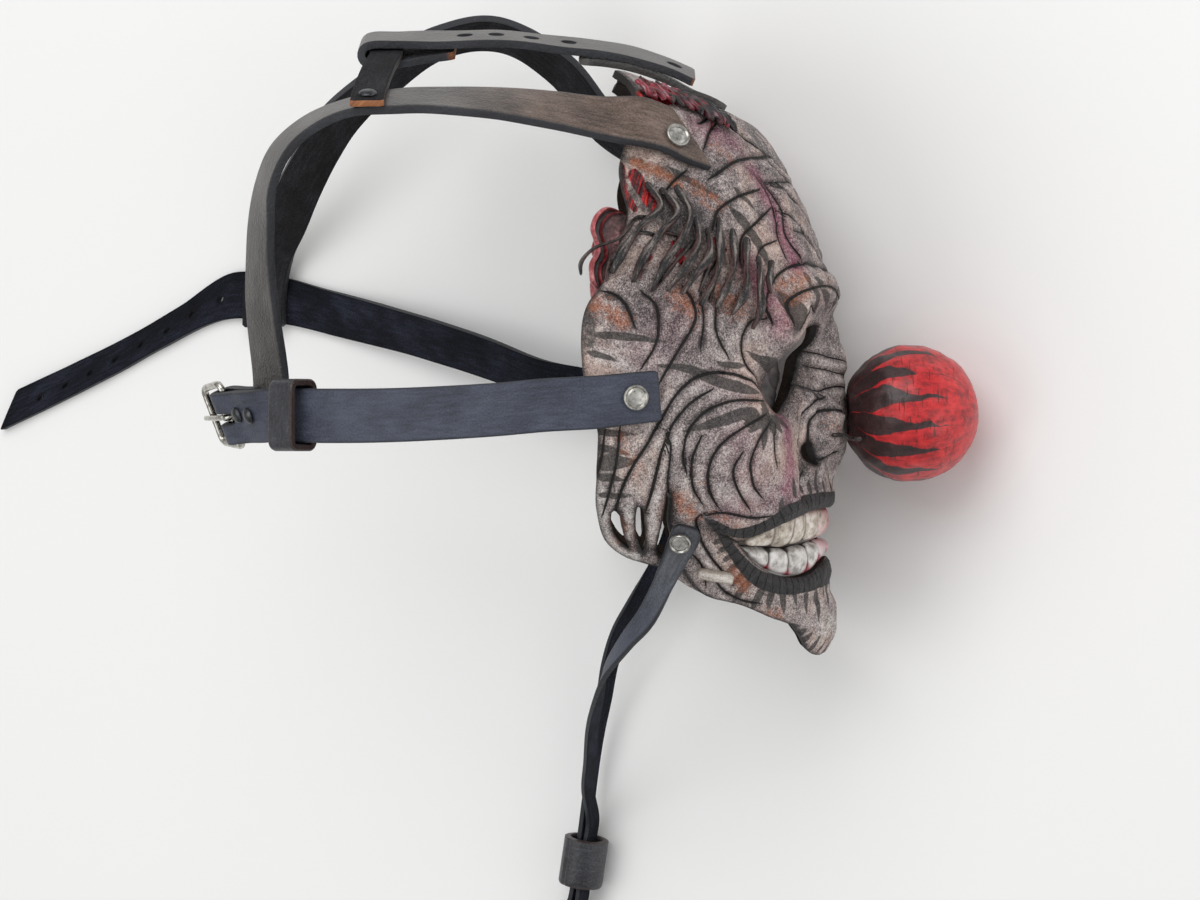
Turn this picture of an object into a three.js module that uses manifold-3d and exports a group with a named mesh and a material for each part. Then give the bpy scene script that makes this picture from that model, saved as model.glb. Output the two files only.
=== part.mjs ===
// Leather clown mask with its strap harness, lying on its left side.
// Millimetres. The worn mask is drawn with x forward, y up and z to the wearer's right,
// and the last group lays it down with +Z up and the face towards -Y.
import * as THREE from 'three';
import { mergeVertices } from 'three/addons/utils/BufferGeometryUtils.js';
import Module from 'manifold-3d';

const wasm = await Module();
wasm.setup();

// Driving sizes
const leather = 3.4;          // thickness of the face and the main straps
const thinLeather = 2;        // chin straps
const gap = 0.35;             // clearance between pieces that touch
const onFace = 3.1;           // middle of a main strap above the face it lies on
const strapHalf = 9.75;       // half width of the cheek straps and upper bands
const ballRadius = 26;
const ballWall = 3;
const ballCentre = [117.8, 13.9, 0];
const ballMouth = 10.5;        // radius of the opening that sits on the nose
const wireRadius = 1.4;       // buckle wire
const prongRadius = 1.1;
const axisBack = -12;         // x of the upright line that the face sections are drawn about
const arcRadius = 86;         // one radian round the face is this many millimetres of chart
const restRoll = 27.3;        // degrees the mask rolls on to its left cheek when it lies down
const restPitch = 2.9;
const restHeight = 83.8;      // height above the table of the worn frame's origin
const weldReach = 1e-4;       // corners this close are one

// Face sections: height, reach forward of the upright line, half width
const sections = [
  [147, 10, 30], [143, 21, 42], [138, 34, 48], [132, 49, 53], [126, 63.5, 57.5], [120, 72, 61.5],
  [110, 79, 67], [95, 88, 73.5], [80, 94, 77.5], [68, 97, 79.5], [55, 97, 80.5], [30, 97, 81],
  [10, 98, 80], [0, 98, 79], [-10, 99, 76], [-20, 99, 71], [-30, 98, 64], [-38, 98, 59],
  [-45, 98, 55], [-52, 98, 51], [-60, 100, 46], [-70, 100, 38], [-80, 95, 30],
].reverse();

// The chart of the face: along = millimetres round from the centre line, up = height.
// Edges of the leather in that chart, from the crown corner down and from the jaw corner to the chin.
const topCentre = 143.5;
const chinTip = -76.8;
const rearEdge = [
  [62, 142], [84, 134], [95, 129], [104, 124], [111, 112], [115, 103], [115, 95], [114, 86], [119, 72],
  [124, 59], [128, 53], [130, 46], [130, 30], [128, 18], [125, 6], [126, -9], [126, -22], [123, -33],
  [117, -39], [106, -43],
];
const jawEdge = [
  [106, -43], [98, -43], [94, -48], [88, -54], [75, -57.5], [62, -62.5], [50, -66], [43, -70.5], [32, -76],
  [12, -78], [0, -76.8],
];

// Raised and sunken forms: line in the chart, half width, height
const forms = [
  { name: 'brow roll', line: [[0, 57], [20, 61], [40, 59], [54, 45]], wide: 12, high: 6 },
  { name: 'frown', line: [[0, 70], [0, 52]], wide: 6, high: -2 },
  { name: 'brow outer lobe', line: [[52, 50], [58, 38]], wide: 11, high: 4 },
  { name: 'eye hollow', line: [[26, 36], [44, 28], [56, 22]], wide: 15, high: -7 },
  { name: 'nose bridge', line: [[0, 43], [0, 38]], wide: 12, high: 6 },
  { name: 'nose', line: [[0, 24], [0, 4]], wide: 19, high: 8 },
  { name: 'nose wing', line: [[17, 13], [19, 5]], wide: 10, high: 7 },
  { name: 'fold beside the nose', line: [[36, 12], [42, -4], [46, -16]], wide: 8, high: -3 },
  { name: 'cheek apple', line: [[70, 4], [68, -8], [62, -16]], wide: 28, high: 7 },
  { name: 'upper lip', line: [[0, -17.5], [22, -17.5], [41, -19.5], [57, -23], [71, -28.5], [84, -27.5]], wide: 8, high: 2.2 },
  { name: 'lower lip', line: [[0, -45.5], [20, -47], [40, -51], [58, -50.5], [71, -44], [82, -32]], wide: 8, high: 1.8 },
  { name: 'fullness under the lip', line: [[0, -57], [24, -57]], wide: 9, high: 1.5 },
  { name: 'chin', line: [[0, -68], [8, -69]], wide: 16, high: 1.3 },
  { name: 'mouth corner fold', line: [[94, -20], [92, -34], [84, -46]], wide: 7, high: 2.5 },
  { name: 'forehead centre strip', line: [[0, 135], [0, 108]], wide: 9, high: 1.6 },
  { name: 'temple vein', line: [[38, 102], [42, 88], [40, 74]], wide: 8, high: 2 },
  { name: 'cheek fold outer', line: [[118, 0], [122, -12], [123.5, -26]], wide: 6, high: 2 },
  { name: 'cheek fold middle', line: [[110, 2], [114, -12], [115, -28]], wide: 6, high: 2.4 },
  { name: 'cheek fold inner', line: [[101, 2], [106, -14], [107.5, -32]], wide: 6, high: 2.4 },
  { name: 'temple dent', line: [[84, 96], [80, 84]], wide: 20, high: -2.5 },
];

// Openings through the leather, as closed lines in the chart for the wearer's right side
const eyeSlit = [[19, 46], [28, 45], [40, 40], [52, 30], [61, 17], [56, 14], [47, 18], [36, 26], [26, 34], [18, 41]];
const nostril = [[29.5, -1], [33, 3.5], [37, 1], [36.8, -3.5], [31, -5.6], [25, -4.6]];
const jawSlits = [
  [[120.6, -22.5], [120.2, -30.5], [115, -36.3], [117.3, -30.5], [118.6, -24]],
  [[112.6, -21], [112.8, -31], [110.4, -37.5], [110.2, -31], [111, -22]],
  [[102.4, -15.5], [104.2, -27], [105.4, -38], [100.5, -38.6], [101.4, -27], [101.4, -17]],
];
const upperLipInside = [[0, -22], [14, -22], [28, -22.4], [42, -23.8], [52, -25.6], [60, -28], [69, -31.8], [76, -34]];
const lowerLipInside = [[0, -40], [12, -40.5], [24, -43], [36, -46.5], [48, -47.5], [58, -46], [68, -42], [76, -35]];
const biteLine = [[0, -32.5], [20, -33.5], [40, -35.5], [56, -37.5], [74, -36]];

// Smooth curve through the rows of a table, looked up by its first column
function lookUp(rows, column, key) {
  const last = rows.length - 1;
  if (key <= rows[0][0]) return rows[0][column];
  if (key >= rows[last][0]) return rows[last][column];
  const i = rows.findIndex((row, k) => key <= rows[k + 1][0]);
  const slope = (k) => {
    const low = Math.max(0, k - 1);
    const high = Math.min(last, k + 1);
    return (rows[high][column] - rows[low][column]) / (rows[high][0] - rows[low][0]);
  };
  const step = rows[i + 1][0] - rows[i][0];
  const t = (key - rows[i][0]) / step;
  const rise = t * t * (3 - 2 * t);
  const bow = step * t * (1 - t) * ((1 - t) * slope(i) - t * slope(i + 1));
  return rows[i][column] * (1 - rise) + rows[i + 1][column] * rise + bow;
}

// Distance from a chart point to a line of chart points
function distanceTo(line, along, up) {
  let best = Infinity;
  for (let i = 0; i + 1 < line.length; i += 1) {
    const [ax, ay] = line[i];
    const [bx, by] = line[i + 1];
    const dx = bx - ax;
    const dy = by - ay;
    const t = THREE.MathUtils.clamp(((along - ax) * dx + (up - ay) * dy) / (dx * dx + dy * dy), 0, 1);
    best = Math.min(best, Math.hypot(along - ax - t * dx, up - ay - t * dy));
  }
  return best;
}

function reliefAt(along, up) {
  let relief = 0;
  for (const form of forms) {
    const q = distanceTo(form.line, Math.abs(along), up) / form.wide;
    if (q < 1) relief += form.high * (1 - q * q) ** 2;
  }
  return relief;
}

// Point of the face, standing out level from its outer surface by the given distance
function facePoint(along, up, out) {
  const angle = along / arcRadius;
  const reach = lookUp(sections, 1, up);
  const half = lookUp(sections, 2, up);
  const normal = new THREE.Vector3(half * Math.cos(angle), 0, reach * Math.sin(angle)).normalize();
  const point = new THREE.Vector3(axisBack + reach * Math.cos(angle), up, half * Math.sin(angle));
  return point.addScaledVector(normal, reliefAt(along, up) + out);
}

function faceNormal(along, up) {
  const step = 1.5;
  const round = facePoint(along + step, up, 0).sub(facePoint(along - step, up, 0));
  const rise = facePoint(along, up + step, 0).sub(facePoint(along, up - step, 0));
  return rise.cross(round).normalize();
}

// Point standing off the face squarely, also where it slopes
function offFace(along, up, out) {
  return facePoint(along, up, 0).addScaledVector(faceNormal(along, up), out);
}

// Even walk along a line of points, t from 0 to 1
function walk(line, t) {
  const lengths = [0];
  for (let i = 1; i < line.length; i += 1) {
    lengths.push(lengths[i - 1] + Math.hypot(line[i][0] - line[i - 1][0], line[i][1] - line[i - 1][1]));
  }
  const goal = t * lengths[lengths.length - 1];
  let i = 1;
  while (i < line.length - 1 && lengths[i] < goal) i += 1;
  const part = (goal - lengths[i - 1]) / (lengths[i] - lengths[i - 1]);
  return line[i].map((value, k) => line[i - 1][k] + part * (value - line[i - 1][k]));
}

// Chart point of the sheet of leather: across from 0 at the centre to 1 at the rear edge, down from 0 to 1
function sheetPoint(across, down) {
  const crown = rearEdge[0];
  const jaw = rearEdge[rearEdge.length - 1];
  const top = [crown[0] * across, topCentre + (crown[1] - topCentre) * across * across];
  const bottom = walk(jawEdge, 1 - across);
  const centre = [0, topCentre + (chinTip - topCentre) * down];
  const rear = walk(rearEdge, down);
  const middleEnds = [[0, topCentre], [0, chinTip]];
  return [0, 1].map((k) => (1 - down) * top[k] + down * bottom[k] + (1 - across) * centre[k] + across * rear[k]
    - (1 - across) * ((1 - down) * middleEnds[0][k] + down * middleEnds[1][k])
    - across * ((1 - down) * crown[k] + down * jaw[k]));
}

// Moves every corner of a geometry by a rule that takes and gives a vector
function reshape(geometry, rule) {
  const places = geometry.attributes.position;
  for (let i = 0; i < places.count; i += 1) {
    const moved = rule(new THREE.Vector3().fromBufferAttribute(places, i));
    places.setXYZ(i, moved.x, moved.y, moved.z);
  }
  return geometry;
}

// Turns the faces of a geometry over, after a rule that mirrors it
function turnOver(geometry) {
  const index = geometry.index.array;
  for (let i = 0; i < index.length; i += 3) [index[i], index[i + 1]] = [index[i + 1], index[i]];
  return geometry;
}

function weld(geometry) {
  const bare = geometry.clone();
  bare.deleteAttribute('normal');
  bare.deleteAttribute('uv');
  return mergeVertices(bare, weldReach);
}

function toSolid(geometry) {
  const welded = weld(geometry);
  const vertProperties = new Float32Array(welded.attributes.position.array);
  const triVerts = new Uint32Array(welded.index.array);
  return new wasm.Manifold(new wasm.Mesh({ numProp: 3, vertProperties, triVerts }));
}

function toGeometry(solid) {
  const mesh = solid.getMesh();
  const geometry = new THREE.BufferGeometry();
  geometry.setAttribute('position', new THREE.BufferAttribute(new Float32Array(mesh.vertProperties), 3));
  geometry.setIndex(new THREE.BufferAttribute(new Uint32Array(mesh.triVerts), 1));
  geometry.computeVertexNormals();
  return geometry;
}

function joined(geometries) {
  return toGeometry(geometries.map(toSolid).reduce((all, solid) => all.add(solid)));
}

function mirrored(geometry) {
  return turnOver(reshape(weld(geometry), (p) => p.set(p.x, p.y, -p.z)));
}

// A block in the chart bent on to the face: x along, y up, z out
function wrapOnFace(geometry) {
  return turnOver(reshape(weld(geometry), (p) => facePoint(p.x, p.y, p.z)));
}

// Materials: each finish of the object once
const finishes = {
  paintedLeather: { color: '#a39a95', roughness: 0.7, metalness: 0 },
  toothPaint: { color: '#d6cbb4', roughness: 0.5, metalness: 0 },
  redBall: { color: '#b8232c', roughness: 0.4, metalness: 0 },
  darkThong: { color: '#2f2c2e', roughness: 0.6, metalness: 0 },
  paleThong: { color: '#c9c0b4', roughness: 0.7, metalness: 0 },
  redRolled: { color: '#a5484c', roughness: 0.5, metalness: 0 },
  greyLid: { color: '#8b8181', roughness: 0.6, metalness: 0 },
  slateLeather: { color: '#3f4453', roughness: 0.6, metalness: 0 },
  bandLeather: { color: '#55504e', roughness: 0.5, metalness: 0 },
  loopLeather: { color: '#333238', roughness: 0.55, metalness: 0 },
  nickel: { color: '#c9c8c4', roughness: 0.25, metalness: 1 },
  gunmetal: { color: '#4a4a50', roughness: 0.4, metalness: 1 },
};
const materials = {};
for (const [name, look] of Object.entries(finishes)) {
  materials[name] = new THREE.MeshStandardMaterial(look);
  materials[name].name = name;
}

const worn = new THREE.Group();
function place(name, geometry, finish) {
  const mesh = new THREE.Mesh(toGeometry(toSolid(geometry)), materials[finish]);
  mesh.name = name;
  worn.add(mesh);
}

function placePair(name, geometry, finish) {
  place(`${name}_right`, geometry, finish);
  place(`${name}_left`, mirrored(geometry), finish);
}

// The mask lies down: the worn frame turns with its left cheek on to the table
const laid = new THREE.Group();
laid.rotation.set(THREE.MathUtils.degToRad(restRoll), THREE.MathUtils.degToRad(restPitch), -Math.PI / 2);
laid.position.z = restHeight;
laid.add(worn);
const tableDown = new THREE.Vector3(0, 0, -1).applyQuaternion(laid.quaternion.clone().invert());
function onTable(x, y, lift) {
  return new THREE.Vector3(x, y, (restHeight - lift - tableDown.x * x - tableDown.y * y) / tableDown.z);
}

// Cutter through the leather with the given outline in the chart
function outlineCutter(points, deep = 9, proud = 14) {
  const outline = new THREE.Shape(points.map(([x, y]) => new THREE.Vector2(x, y)));
  const block = new THREE.ExtrudeGeometry(outline, { depth: deep + proud, bevelEnabled: false, steps: 1 });
  block.translate(0, 0, -deep);
  return wrapOnFace(block);
}

// Block on the face between an upper and a lower line of the chart
function stripOnFace(upper, lower, size, height) {
  const block = new THREE.BoxGeometry(1, 1, 1, size.columns, size.rows, 1);
  reshape(block, (p) => {
    const t = p.x + 0.5;
    const above = walk(upper, t);
    const below = walk(lower, t);
    const share = p.y + 0.5;
    const along = below[0] + share * (above[0] - below[0]);
    const up = below[1] + share * (above[1] - below[1]);
    return new THREE.Vector3(along, up, height(p.z > 0, t, share));
  });
  return wrapOnFace(block);
}

// A line drawn from the centre to the right, run on over the left half as well
function wholeLine(line) {
  const other = line.slice(1).map(([along, up]) => [-along, up]).reverse();
  return [...other, ...line];
}

// Strap between two rails of points, with the same number of faces in each span
function ribbon(rails, thickness, perSpan) {
  const sides = [0, 1].map((k) => new THREE.CatmullRomCurve3(rails.map((pair) => pair[k].clone()), false, 'centripetal'));
  const block = new THREE.BoxGeometry(1, 1, 1, (rails.length - 1) * perSpan, 1, 1);
  return reshape(block, (p) => {
    const t = THREE.MathUtils.clamp(p.x + 0.5, 0, 1);
    const nearby = [Math.max(0, t - 0.004), Math.min(1, t + 0.004)];
    const ends = nearby.map((s) => sides[0].getPoint(s).add(sides[1].getPoint(s)));
    const across = sides[1].getPoint(t).sub(sides[0].getPoint(t));
    const normal = ends[1].sub(ends[0]).cross(across).normalize();
    return sides[0].getPoint(t).addScaledVector(across, p.y + 0.5).addScaledVector(normal, p.z * thickness);
  });
}

function vector(list) {
  return new THREE.Vector3(...list);
}

// Rails from middle points and the direction across the strap at each
function railsAbout(points, across, half) {
  return points.map((point, i) => {
    const half3 = vector(across[i]).normalize().multiplyScalar(half);
    return [vector(point).sub(half3), vector(point).add(half3)];
  });
}

// Thong lying on the face along chart points
function thong(points, width, thickness, lift) {
  const path = new THREE.CatmullRomCurve3(points.map(([along, up]) => new THREE.Vector3(along, up, 0)));
  const rails = [];
  const count = points.length * 2 - 1;
  for (let i = 0; i < count; i += 1) {
    const t = i / (count - 1);
    const here = path.getPoint(t);
    const onward = path.getTangent(t);
    const side = new THREE.Vector2(-onward.y, onward.x).multiplyScalar(width / 2);
    rails.push([-1, 1].map((k) => offFace(here.x + k * side.x, here.y + k * side.y, lift)));
  }
  return ribbon(rails, thickness, 1);
}

// Domed rivet cap sitting on a point, facing along a direction
function rivetCap(base, facing, radius) {
  const profile = [[0, 0], [radius, 0], [radius, 0.9], [radius * 0.78, 1.5], [0, 1.9]];
  const cap = new THREE.LatheGeometry(profile.map(([r, h]) => new THREE.Vector2(r, h)), 9);
  cap.applyQuaternion(new THREE.Quaternion().setFromUnitVectors(new THREE.Vector3(0, 1, 0), facing));
  return cap.translate(base.x, base.y, base.z);
}

function rivetOnFace(along, up, under, radius) {
  return rivetCap(offFace(along, up, under), faceNormal(along, up), radius);
}

function rod(from, to, radius, sides = 6) {
  const axis = to.clone().sub(from);
  const bar = new THREE.CylinderGeometry(radius, radius, axis.length(), sides);
  bar.applyQuaternion(new THREE.Quaternion().setFromUnitVectors(new THREE.Vector3(0, 1, 0), axis.normalize()));
  const middle = from.clone().add(to).multiplyScalar(0.5);
  return bar.translate(middle.x, middle.y, middle.z);
}

// Face shell: a thin block bent into the sheet of leather, then pierced
function faceShell() {
  const columns = 26;
  const rows = 29;
  const rearStretch = 1.3;
  const topStretch = 0.86;
  const block = new THREE.BoxGeometry(2, 1, 1, columns, rows, 1);
  reshape(block, (p) => {
    const side = Math.sign(p.x) || 1;
    const [along, up] = sheetPoint(Math.abs(p.x) ** rearStretch, (0.5 - p.y) ** topStretch);
    return offFace(along * side, up, p.z > 0 ? 0 : -leather);
  });
  let shell = toSolid(turnOver(block));
  for (const outline of [eyeSlit, nostril, ...jawSlits]) {
    const hole = outlineCutter(outline);
    shell = shell.subtract(toSolid(hole)).subtract(toSolid(mirrored(hole)));
  }
  const size = { columns: 20, rows: 1 };
  const mouth = stripOnFace(wholeLine(upperLipInside), wholeLine(lowerLipInside), size, (outer) => (outer ? 14 : -9));
  return toGeometry(shell.subtract(toSolid(mouth)));
}

place('face_shell', faceShell(), 'paintedLeather');

// Tooth rows: a bent strip that swells once for each tooth
function toothRow(upper, lower) {
  const teeth = 12;
  const deep = -4.5;
  const bulge = 1.8;
  return stripOnFace(wholeLine(upper), wholeLine(lower), { columns: teeth * 3, rows: 1 }, (outer, t) => {
    if (!outer) return deep;
    return bulge * Math.sqrt(Math.abs(Math.sin(Math.PI * teeth * t))) - 1;
  });
}

function shifted(line, rise) {
  return line.map(([along, up]) => [along, up + rise]);
}

const biteGap = 0.5;
const upperRow = toothRow(shifted(upperLipInside, -0.6).slice(0, -1).concat([[73.5, -34.6]]), shifted(biteLine, biteGap));
place('upper_teeth', upperRow, 'toothPaint');
const lowerRow = toothRow(shifted(biteLine, -biteGap), shifted(lowerLipInside, 0.7).slice(0, -1).concat([[73.5, -37]]));
place('lower_teeth', lowerRow, 'toothPaint');

// Lids inside the eye slits, behind the leather
const lidSize = { columns: 5, rows: 1 };
const lidTop = [[33, 41], [44, 36], [53, 27], [61, 17]];
const lidFoot = [[30, 31], [38, 26], [48, 18], [57, 12]];
placePair('eyelid', stripOnFace(lidTop, lidFoot, lidSize, (outer) => (outer ? -6.2 : -8.2)), 'greyLid');

// Ear folds: a flap behind the rear edge with a rolled rim
const flapRim = [[116, 87], [122, 88], [126, 85], [127.5, 80.5], [126.5, 76], [126, 71.5], [128, 67], [128, 62], [126, 57]];
const flapRoot = [[110, 86], [109, 82], [109, 78], [110, 74], [112, 70], [114, 66], [116, 62], [117, 58]];
const flapOuter = [-4.8, -4.6, -4.3, -4.8];   // from the root to the rolled rim
const flapInner = [-6.8, -6.8, -7.8, -7];
const flap = stripOnFace(flapRoot, flapRim, { columns: 8, rows: 3 }, (outer, t, share) => {
  const ring = Math.round((1 - share) * 3);
  return outer ? flapOuter[ring] : flapInner[ring];
});
placePair('ear_fold', turnOver(flap), 'redRolled');

// Thongs that cross the torn temple, from the front top of each to its rear end
const templeThongs = [
  [[107, 96], [103, 88], [111, 80], [117, 71], [121, 63]],
  [[102, 94], [97, 86], [104, 78], [110, 70], [114, 60]],
  [[96, 95], [92, 86], [97, 76], [103, 68], [108, 57]],
  [[90, 84], [91, 75], [97, 65], [103, 57]],
  [[86, 80], [87, 71], [93, 63], [98, 56]],
  [[80, 84], [82, 74], [85, 64], [91, 52]],
  [[75, 80], [77, 71], [80, 62], [85, 51]],
  [[70, 77], [73, 67], [73, 58], [79, 49]],
  [[68, 70], [68, 61], [67, 52], [71, 44]],
  [[62, 69], [63.5, 62], [63, 57]],
];
const thongWidth = 2.6;
const thongThickness = 1.7;
const thongLift = 1.9;
const browLift = 2.8;      // over the brow the last two ride higher
const stitchLift = 2.5;    // the long straight stitches over the crown also
templeThongs.forEach((points, i) => {
  const strip = thong(points, thongWidth, thongThickness, i < 8 ? thongLift : browLift);
  place(`temple_thong_right_${i + 1}`, strip, 'darkThong');
  if (i % 2 === 0) place(`temple_thong_left_${i / 2 + 1}`, mirrored(strip), 'darkThong');
});

// Whip stitch over the hairline tear: straight stitches, mitred where they turn
const hairlineStitch = [
  [84, 134], [89, 128], [76, 133.5], [81, 126.5], [67, 133], [73, 124], [58, 129], [64, 120], [50, 124], [52, 116],
];
const stitchRails = hairlineStitch.map((point, i) => {
  const here = new THREE.Vector2(...point);
  const before = new THREE.Vector2(...(hairlineStitch[i - 1] ?? point));
  const after = new THREE.Vector2(...(hairlineStitch[i + 1] ?? point));
  const arriving = here.clone().sub(before).normalize();
  const onward = arriving.clone().add(after.sub(here).normalize()).normalize();
  const mitre = thongWidth / 2 / (arriving.dot(onward) || 1);
  return [-1, 1].map((k) => offFace(here.x - k * onward.y * mitre, here.y + k * onward.x * mitre, stitchLift));
});
placePair('hairline_thong', ribbon(stitchRails, thongThickness, 1), 'darkThong');
placePair('jaw_thong', thong([[91.5, -43.6], [86, -45.2], [79, -47]], 3.4, 1.6, 2), 'paleThong');

// Nose ball: hollow, open towards the nose, and the thong that ties it on
function noseBall() {
  const [x, y, z] = ballCentre;
  const ball = new THREE.SphereGeometry(ballRadius, 18, 11);
  const hollow = new THREE.SphereGeometry(ballRadius - ballWall, 10, 7);
  for (const sphere of [ball, hollow]) sphere.rotateZ(Math.PI / 2).translate(x, y, z);
  const back = new THREE.Vector3(x - ballRadius - 2, y, z);
  const mouth = rod(back, new THREE.Vector3(x - ballRadius / 2, y, z), ballMouth, 14);
  return toGeometry(toSolid(ball).subtract(toSolid(hollow)).subtract(toSolid(mouth)));
}
place('nose_ball', noseBall(), 'redBall');

const ballHole = new THREE.Vector3(-18.3, -8.8, 14.8).normalize();
const onBall = (lift) => vector(ballCentre).addScaledVector(ballHole, ballRadius + lift);
const noseTie = [offFace(24, 5.5, 1.6), offFace(19, 5.5, 1.9), offFace(15, 5.2, 2.8), onBall(2), onBall(1)];
const tieAcross = noseTie.map(() => [0, 1, 0]);
placePair('nose_thong', ribbon(railsAbout(noseTie.map((p) => p.toArray()), tieAcross, 0.8), 1.1, 1), 'darkThong');

// Buckle frame of reference: s along the strap end, n outwards, w across the strap
const buckleOrigin = new THREE.Vector3(-139.4, 13.2, 6);
const alongStrap = new THREE.Vector3(-0.5, 0, -0.866).normalize();
const acrossStrap = new THREE.Vector3(-0.33, 0.92, 0.19).normalize();
const outOfStrap = new THREE.Vector3().crossVectors(acrossStrap, alongStrap).normalize();
function atBuckle(s, n, w) {
  return buckleOrigin.clone().addScaledVector(alongStrap, s).addScaledVector(outOfStrap, n).addScaledVector(acrossStrap, w);
}

// Right cheek strap: flat on the cheek, round the side, folded about the buckle bar
const foldRadius = wireRadius + 0.45 + leather / 2;
const layerHalf = (leather + gap) / 2;
const foldPath = [
  [-24, layerHalf], [-14, layerHalf + 0.1], [-5, foldRadius - 0.3], [0, foldRadius],
  [foldRadius * 0.71, foldRadius * 0.71], [foldRadius, 0], [foldRadius * 0.71, -foldRadius * 0.71],
  [0, -foldRadius], [-5, 0.3 - foldRadius], [-14, -layerHalf - 0.1], [-28, -layerHalf],
];
const cheekRails = [
  [offFace(105.5, 10.6, onFace), offFace(106.5, 28.6, onFace)],
  [offFace(115, 9.3, onFace), offFace(115, 27.8, onFace)],
  [offFace(124.4, 7.9, onFace), offFace(124.4, 26.8, onFace)],
  [[-20, 6.4, 83.2], [-20, 25.6, 83.2]].map(vector),
  [[-38, 4.8, 81.2], [-38, 24, 81.2]].map(vector),
  [[-72, 2.9, 72], [-72, 22.4, 72]].map(vector),
  [[-100, 2.5, 56.5], [-100, 22.4, 56.5]].map(vector),
  [[-115, 3, 43.5], [-116, 22.8, 43.5]].map(vector),
  ...foldPath.map(([s, n]) => [atBuckle(s, n, -10.2), atBuckle(s, n, 10.2)]),
];
function prongSlot() {
  const slot = new THREE.BoxGeometry(20, 14, 4.6);
  return reshape(slot, (p) => atBuckle(p.x - 2.5, p.y, p.z));
}
const cheekStrap = toSolid(ribbon(cheekRails, leather, 1)).subtract(toSolid(prongSlot()));
place('cheek_strap_right', toGeometry(cheekStrap), 'slateLeather');

// Left cheek strap: lies on the table and ends in the row of holes
const strapLift = leather / 2 + 0.05;
const tailMiddle = [
  vector([-20, 27, -87.5]), vector([-42, 36, -99]), vector([-65, 44, -114.5]), vector([-88, 51, -130.5]),
  ...[[-112, 57.5], [-135, 63.5], [-158, 65.5], [-183.7, 53], [-206, 41.5], [-232.4, 29.5], [-260.2, 17.6]]
    .map(([x, y]) => onTable(x, y, strapLift)),
];
const tailAcross = [
  [-0.3, 1], [-0.35, 1], [-0.33, 1], [-0.3, 1], [-0.26, 1], [-0.15, 1], [0.2, 1], [0.48, 1], [0.52, 1], [0.5, 1], [0.46, 1],
];
const tailHalf = 10.2;
const tailRails = [
  [[-106.5, 10.6], [-107.5, 28.6]].map(([along, up]) => offFace(along, up, onFace)),
  [[-116, 12], [-118, 30.5]].map(([along, up]) => offFace(along, up, onFace)),
  [[-124.4, 14], [-127, 32.5]].map(([along, up]) => offFace(along, up, onFace)),
  ...tailMiddle.map((middle, i) => {
    const [x, y] = tailAcross[i];
    const slant = i > 3 ? -(tableDown.x * x + tableDown.y * y) / tableDown.z : 0;
    const side = new THREE.Vector3(x, y, slant).normalize().multiplyScalar(i > 3 ? tailHalf : strapHalf);
    return [middle.clone().sub(side), middle.clone().add(side)];
  }),
];
const tailHoles = 8;
function tailStrap() {
  let strap = toSolid(ribbon(tailRails, leather, 1));
  for (let i = 0; i < tailHoles; i += 1) {
    const t = i / (tailHoles - 1);
    const bow = 1.5 * Math.sin(Math.PI * t);
    const middle = onTable(-244.6 + 83.3 * t, 22.8 + 41.6 * t - bow, strapLift);
    const low = middle.clone().addScaledVector(tableDown, leather);
    const high = middle.clone().addScaledVector(tableDown, -leather);
    strap = strap.subtract(toSolid(rod(low, high, 1.6, 6)));
  }
  return toGeometry(strap);
}
place('cheek_strap_left', tailStrap(), 'slateLeather');

// Keeper loop round the right cheek strap
const keeperAlong = new THREE.Vector3(-0.753, 0, -0.659).normalize();
const keeperUp = new THREE.Vector3(0, 1, 0);
const keeperOut = new THREE.Vector3().crossVectors(keeperUp, keeperAlong).normalize();
const keeperMiddle = new THREE.Vector3(-111.5, 12.8, 47.2);
function roundedFrame(halfWidth, low, high, corner) {
  const frame = new THREE.Shape();
  frame.absarc(halfWidth - corner, high - corner, corner, 0, Math.PI / 2);
  frame.absarc(corner - halfWidth, high - corner, corner, Math.PI / 2, Math.PI);
  frame.absarc(corner - halfWidth, low + corner, corner, Math.PI, 1.5 * Math.PI);
  frame.absarc(halfWidth - corner, low + corner, corner, 1.5 * Math.PI, 2 * Math.PI);
  return frame;
}
function strapKeeper() {
  const wall = 2.6;
  const inner = { half: strapHalf + 0.9, low: -2.6, high: 6.2 };
  const outline = roundedFrame(inner.half + wall, inner.low - wall, inner.high + wall, 3.6);
  outline.holes.push(roundedFrame(inner.half, inner.low, inner.high, 1));
  const loop = new THREE.ExtrudeGeometry(outline, { depth: 12, curveSegments: 2, bevelEnabled: false });
  const basis = new THREE.Matrix4().makeBasis(keeperUp, keeperOut, keeperUp.clone().cross(keeperOut));
  return loop.translate(0, 0, -6).applyMatrix4(basis.setPosition(keeperMiddle));
}
place('strap_keeper', strapKeeper(), 'loopLeather');

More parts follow.
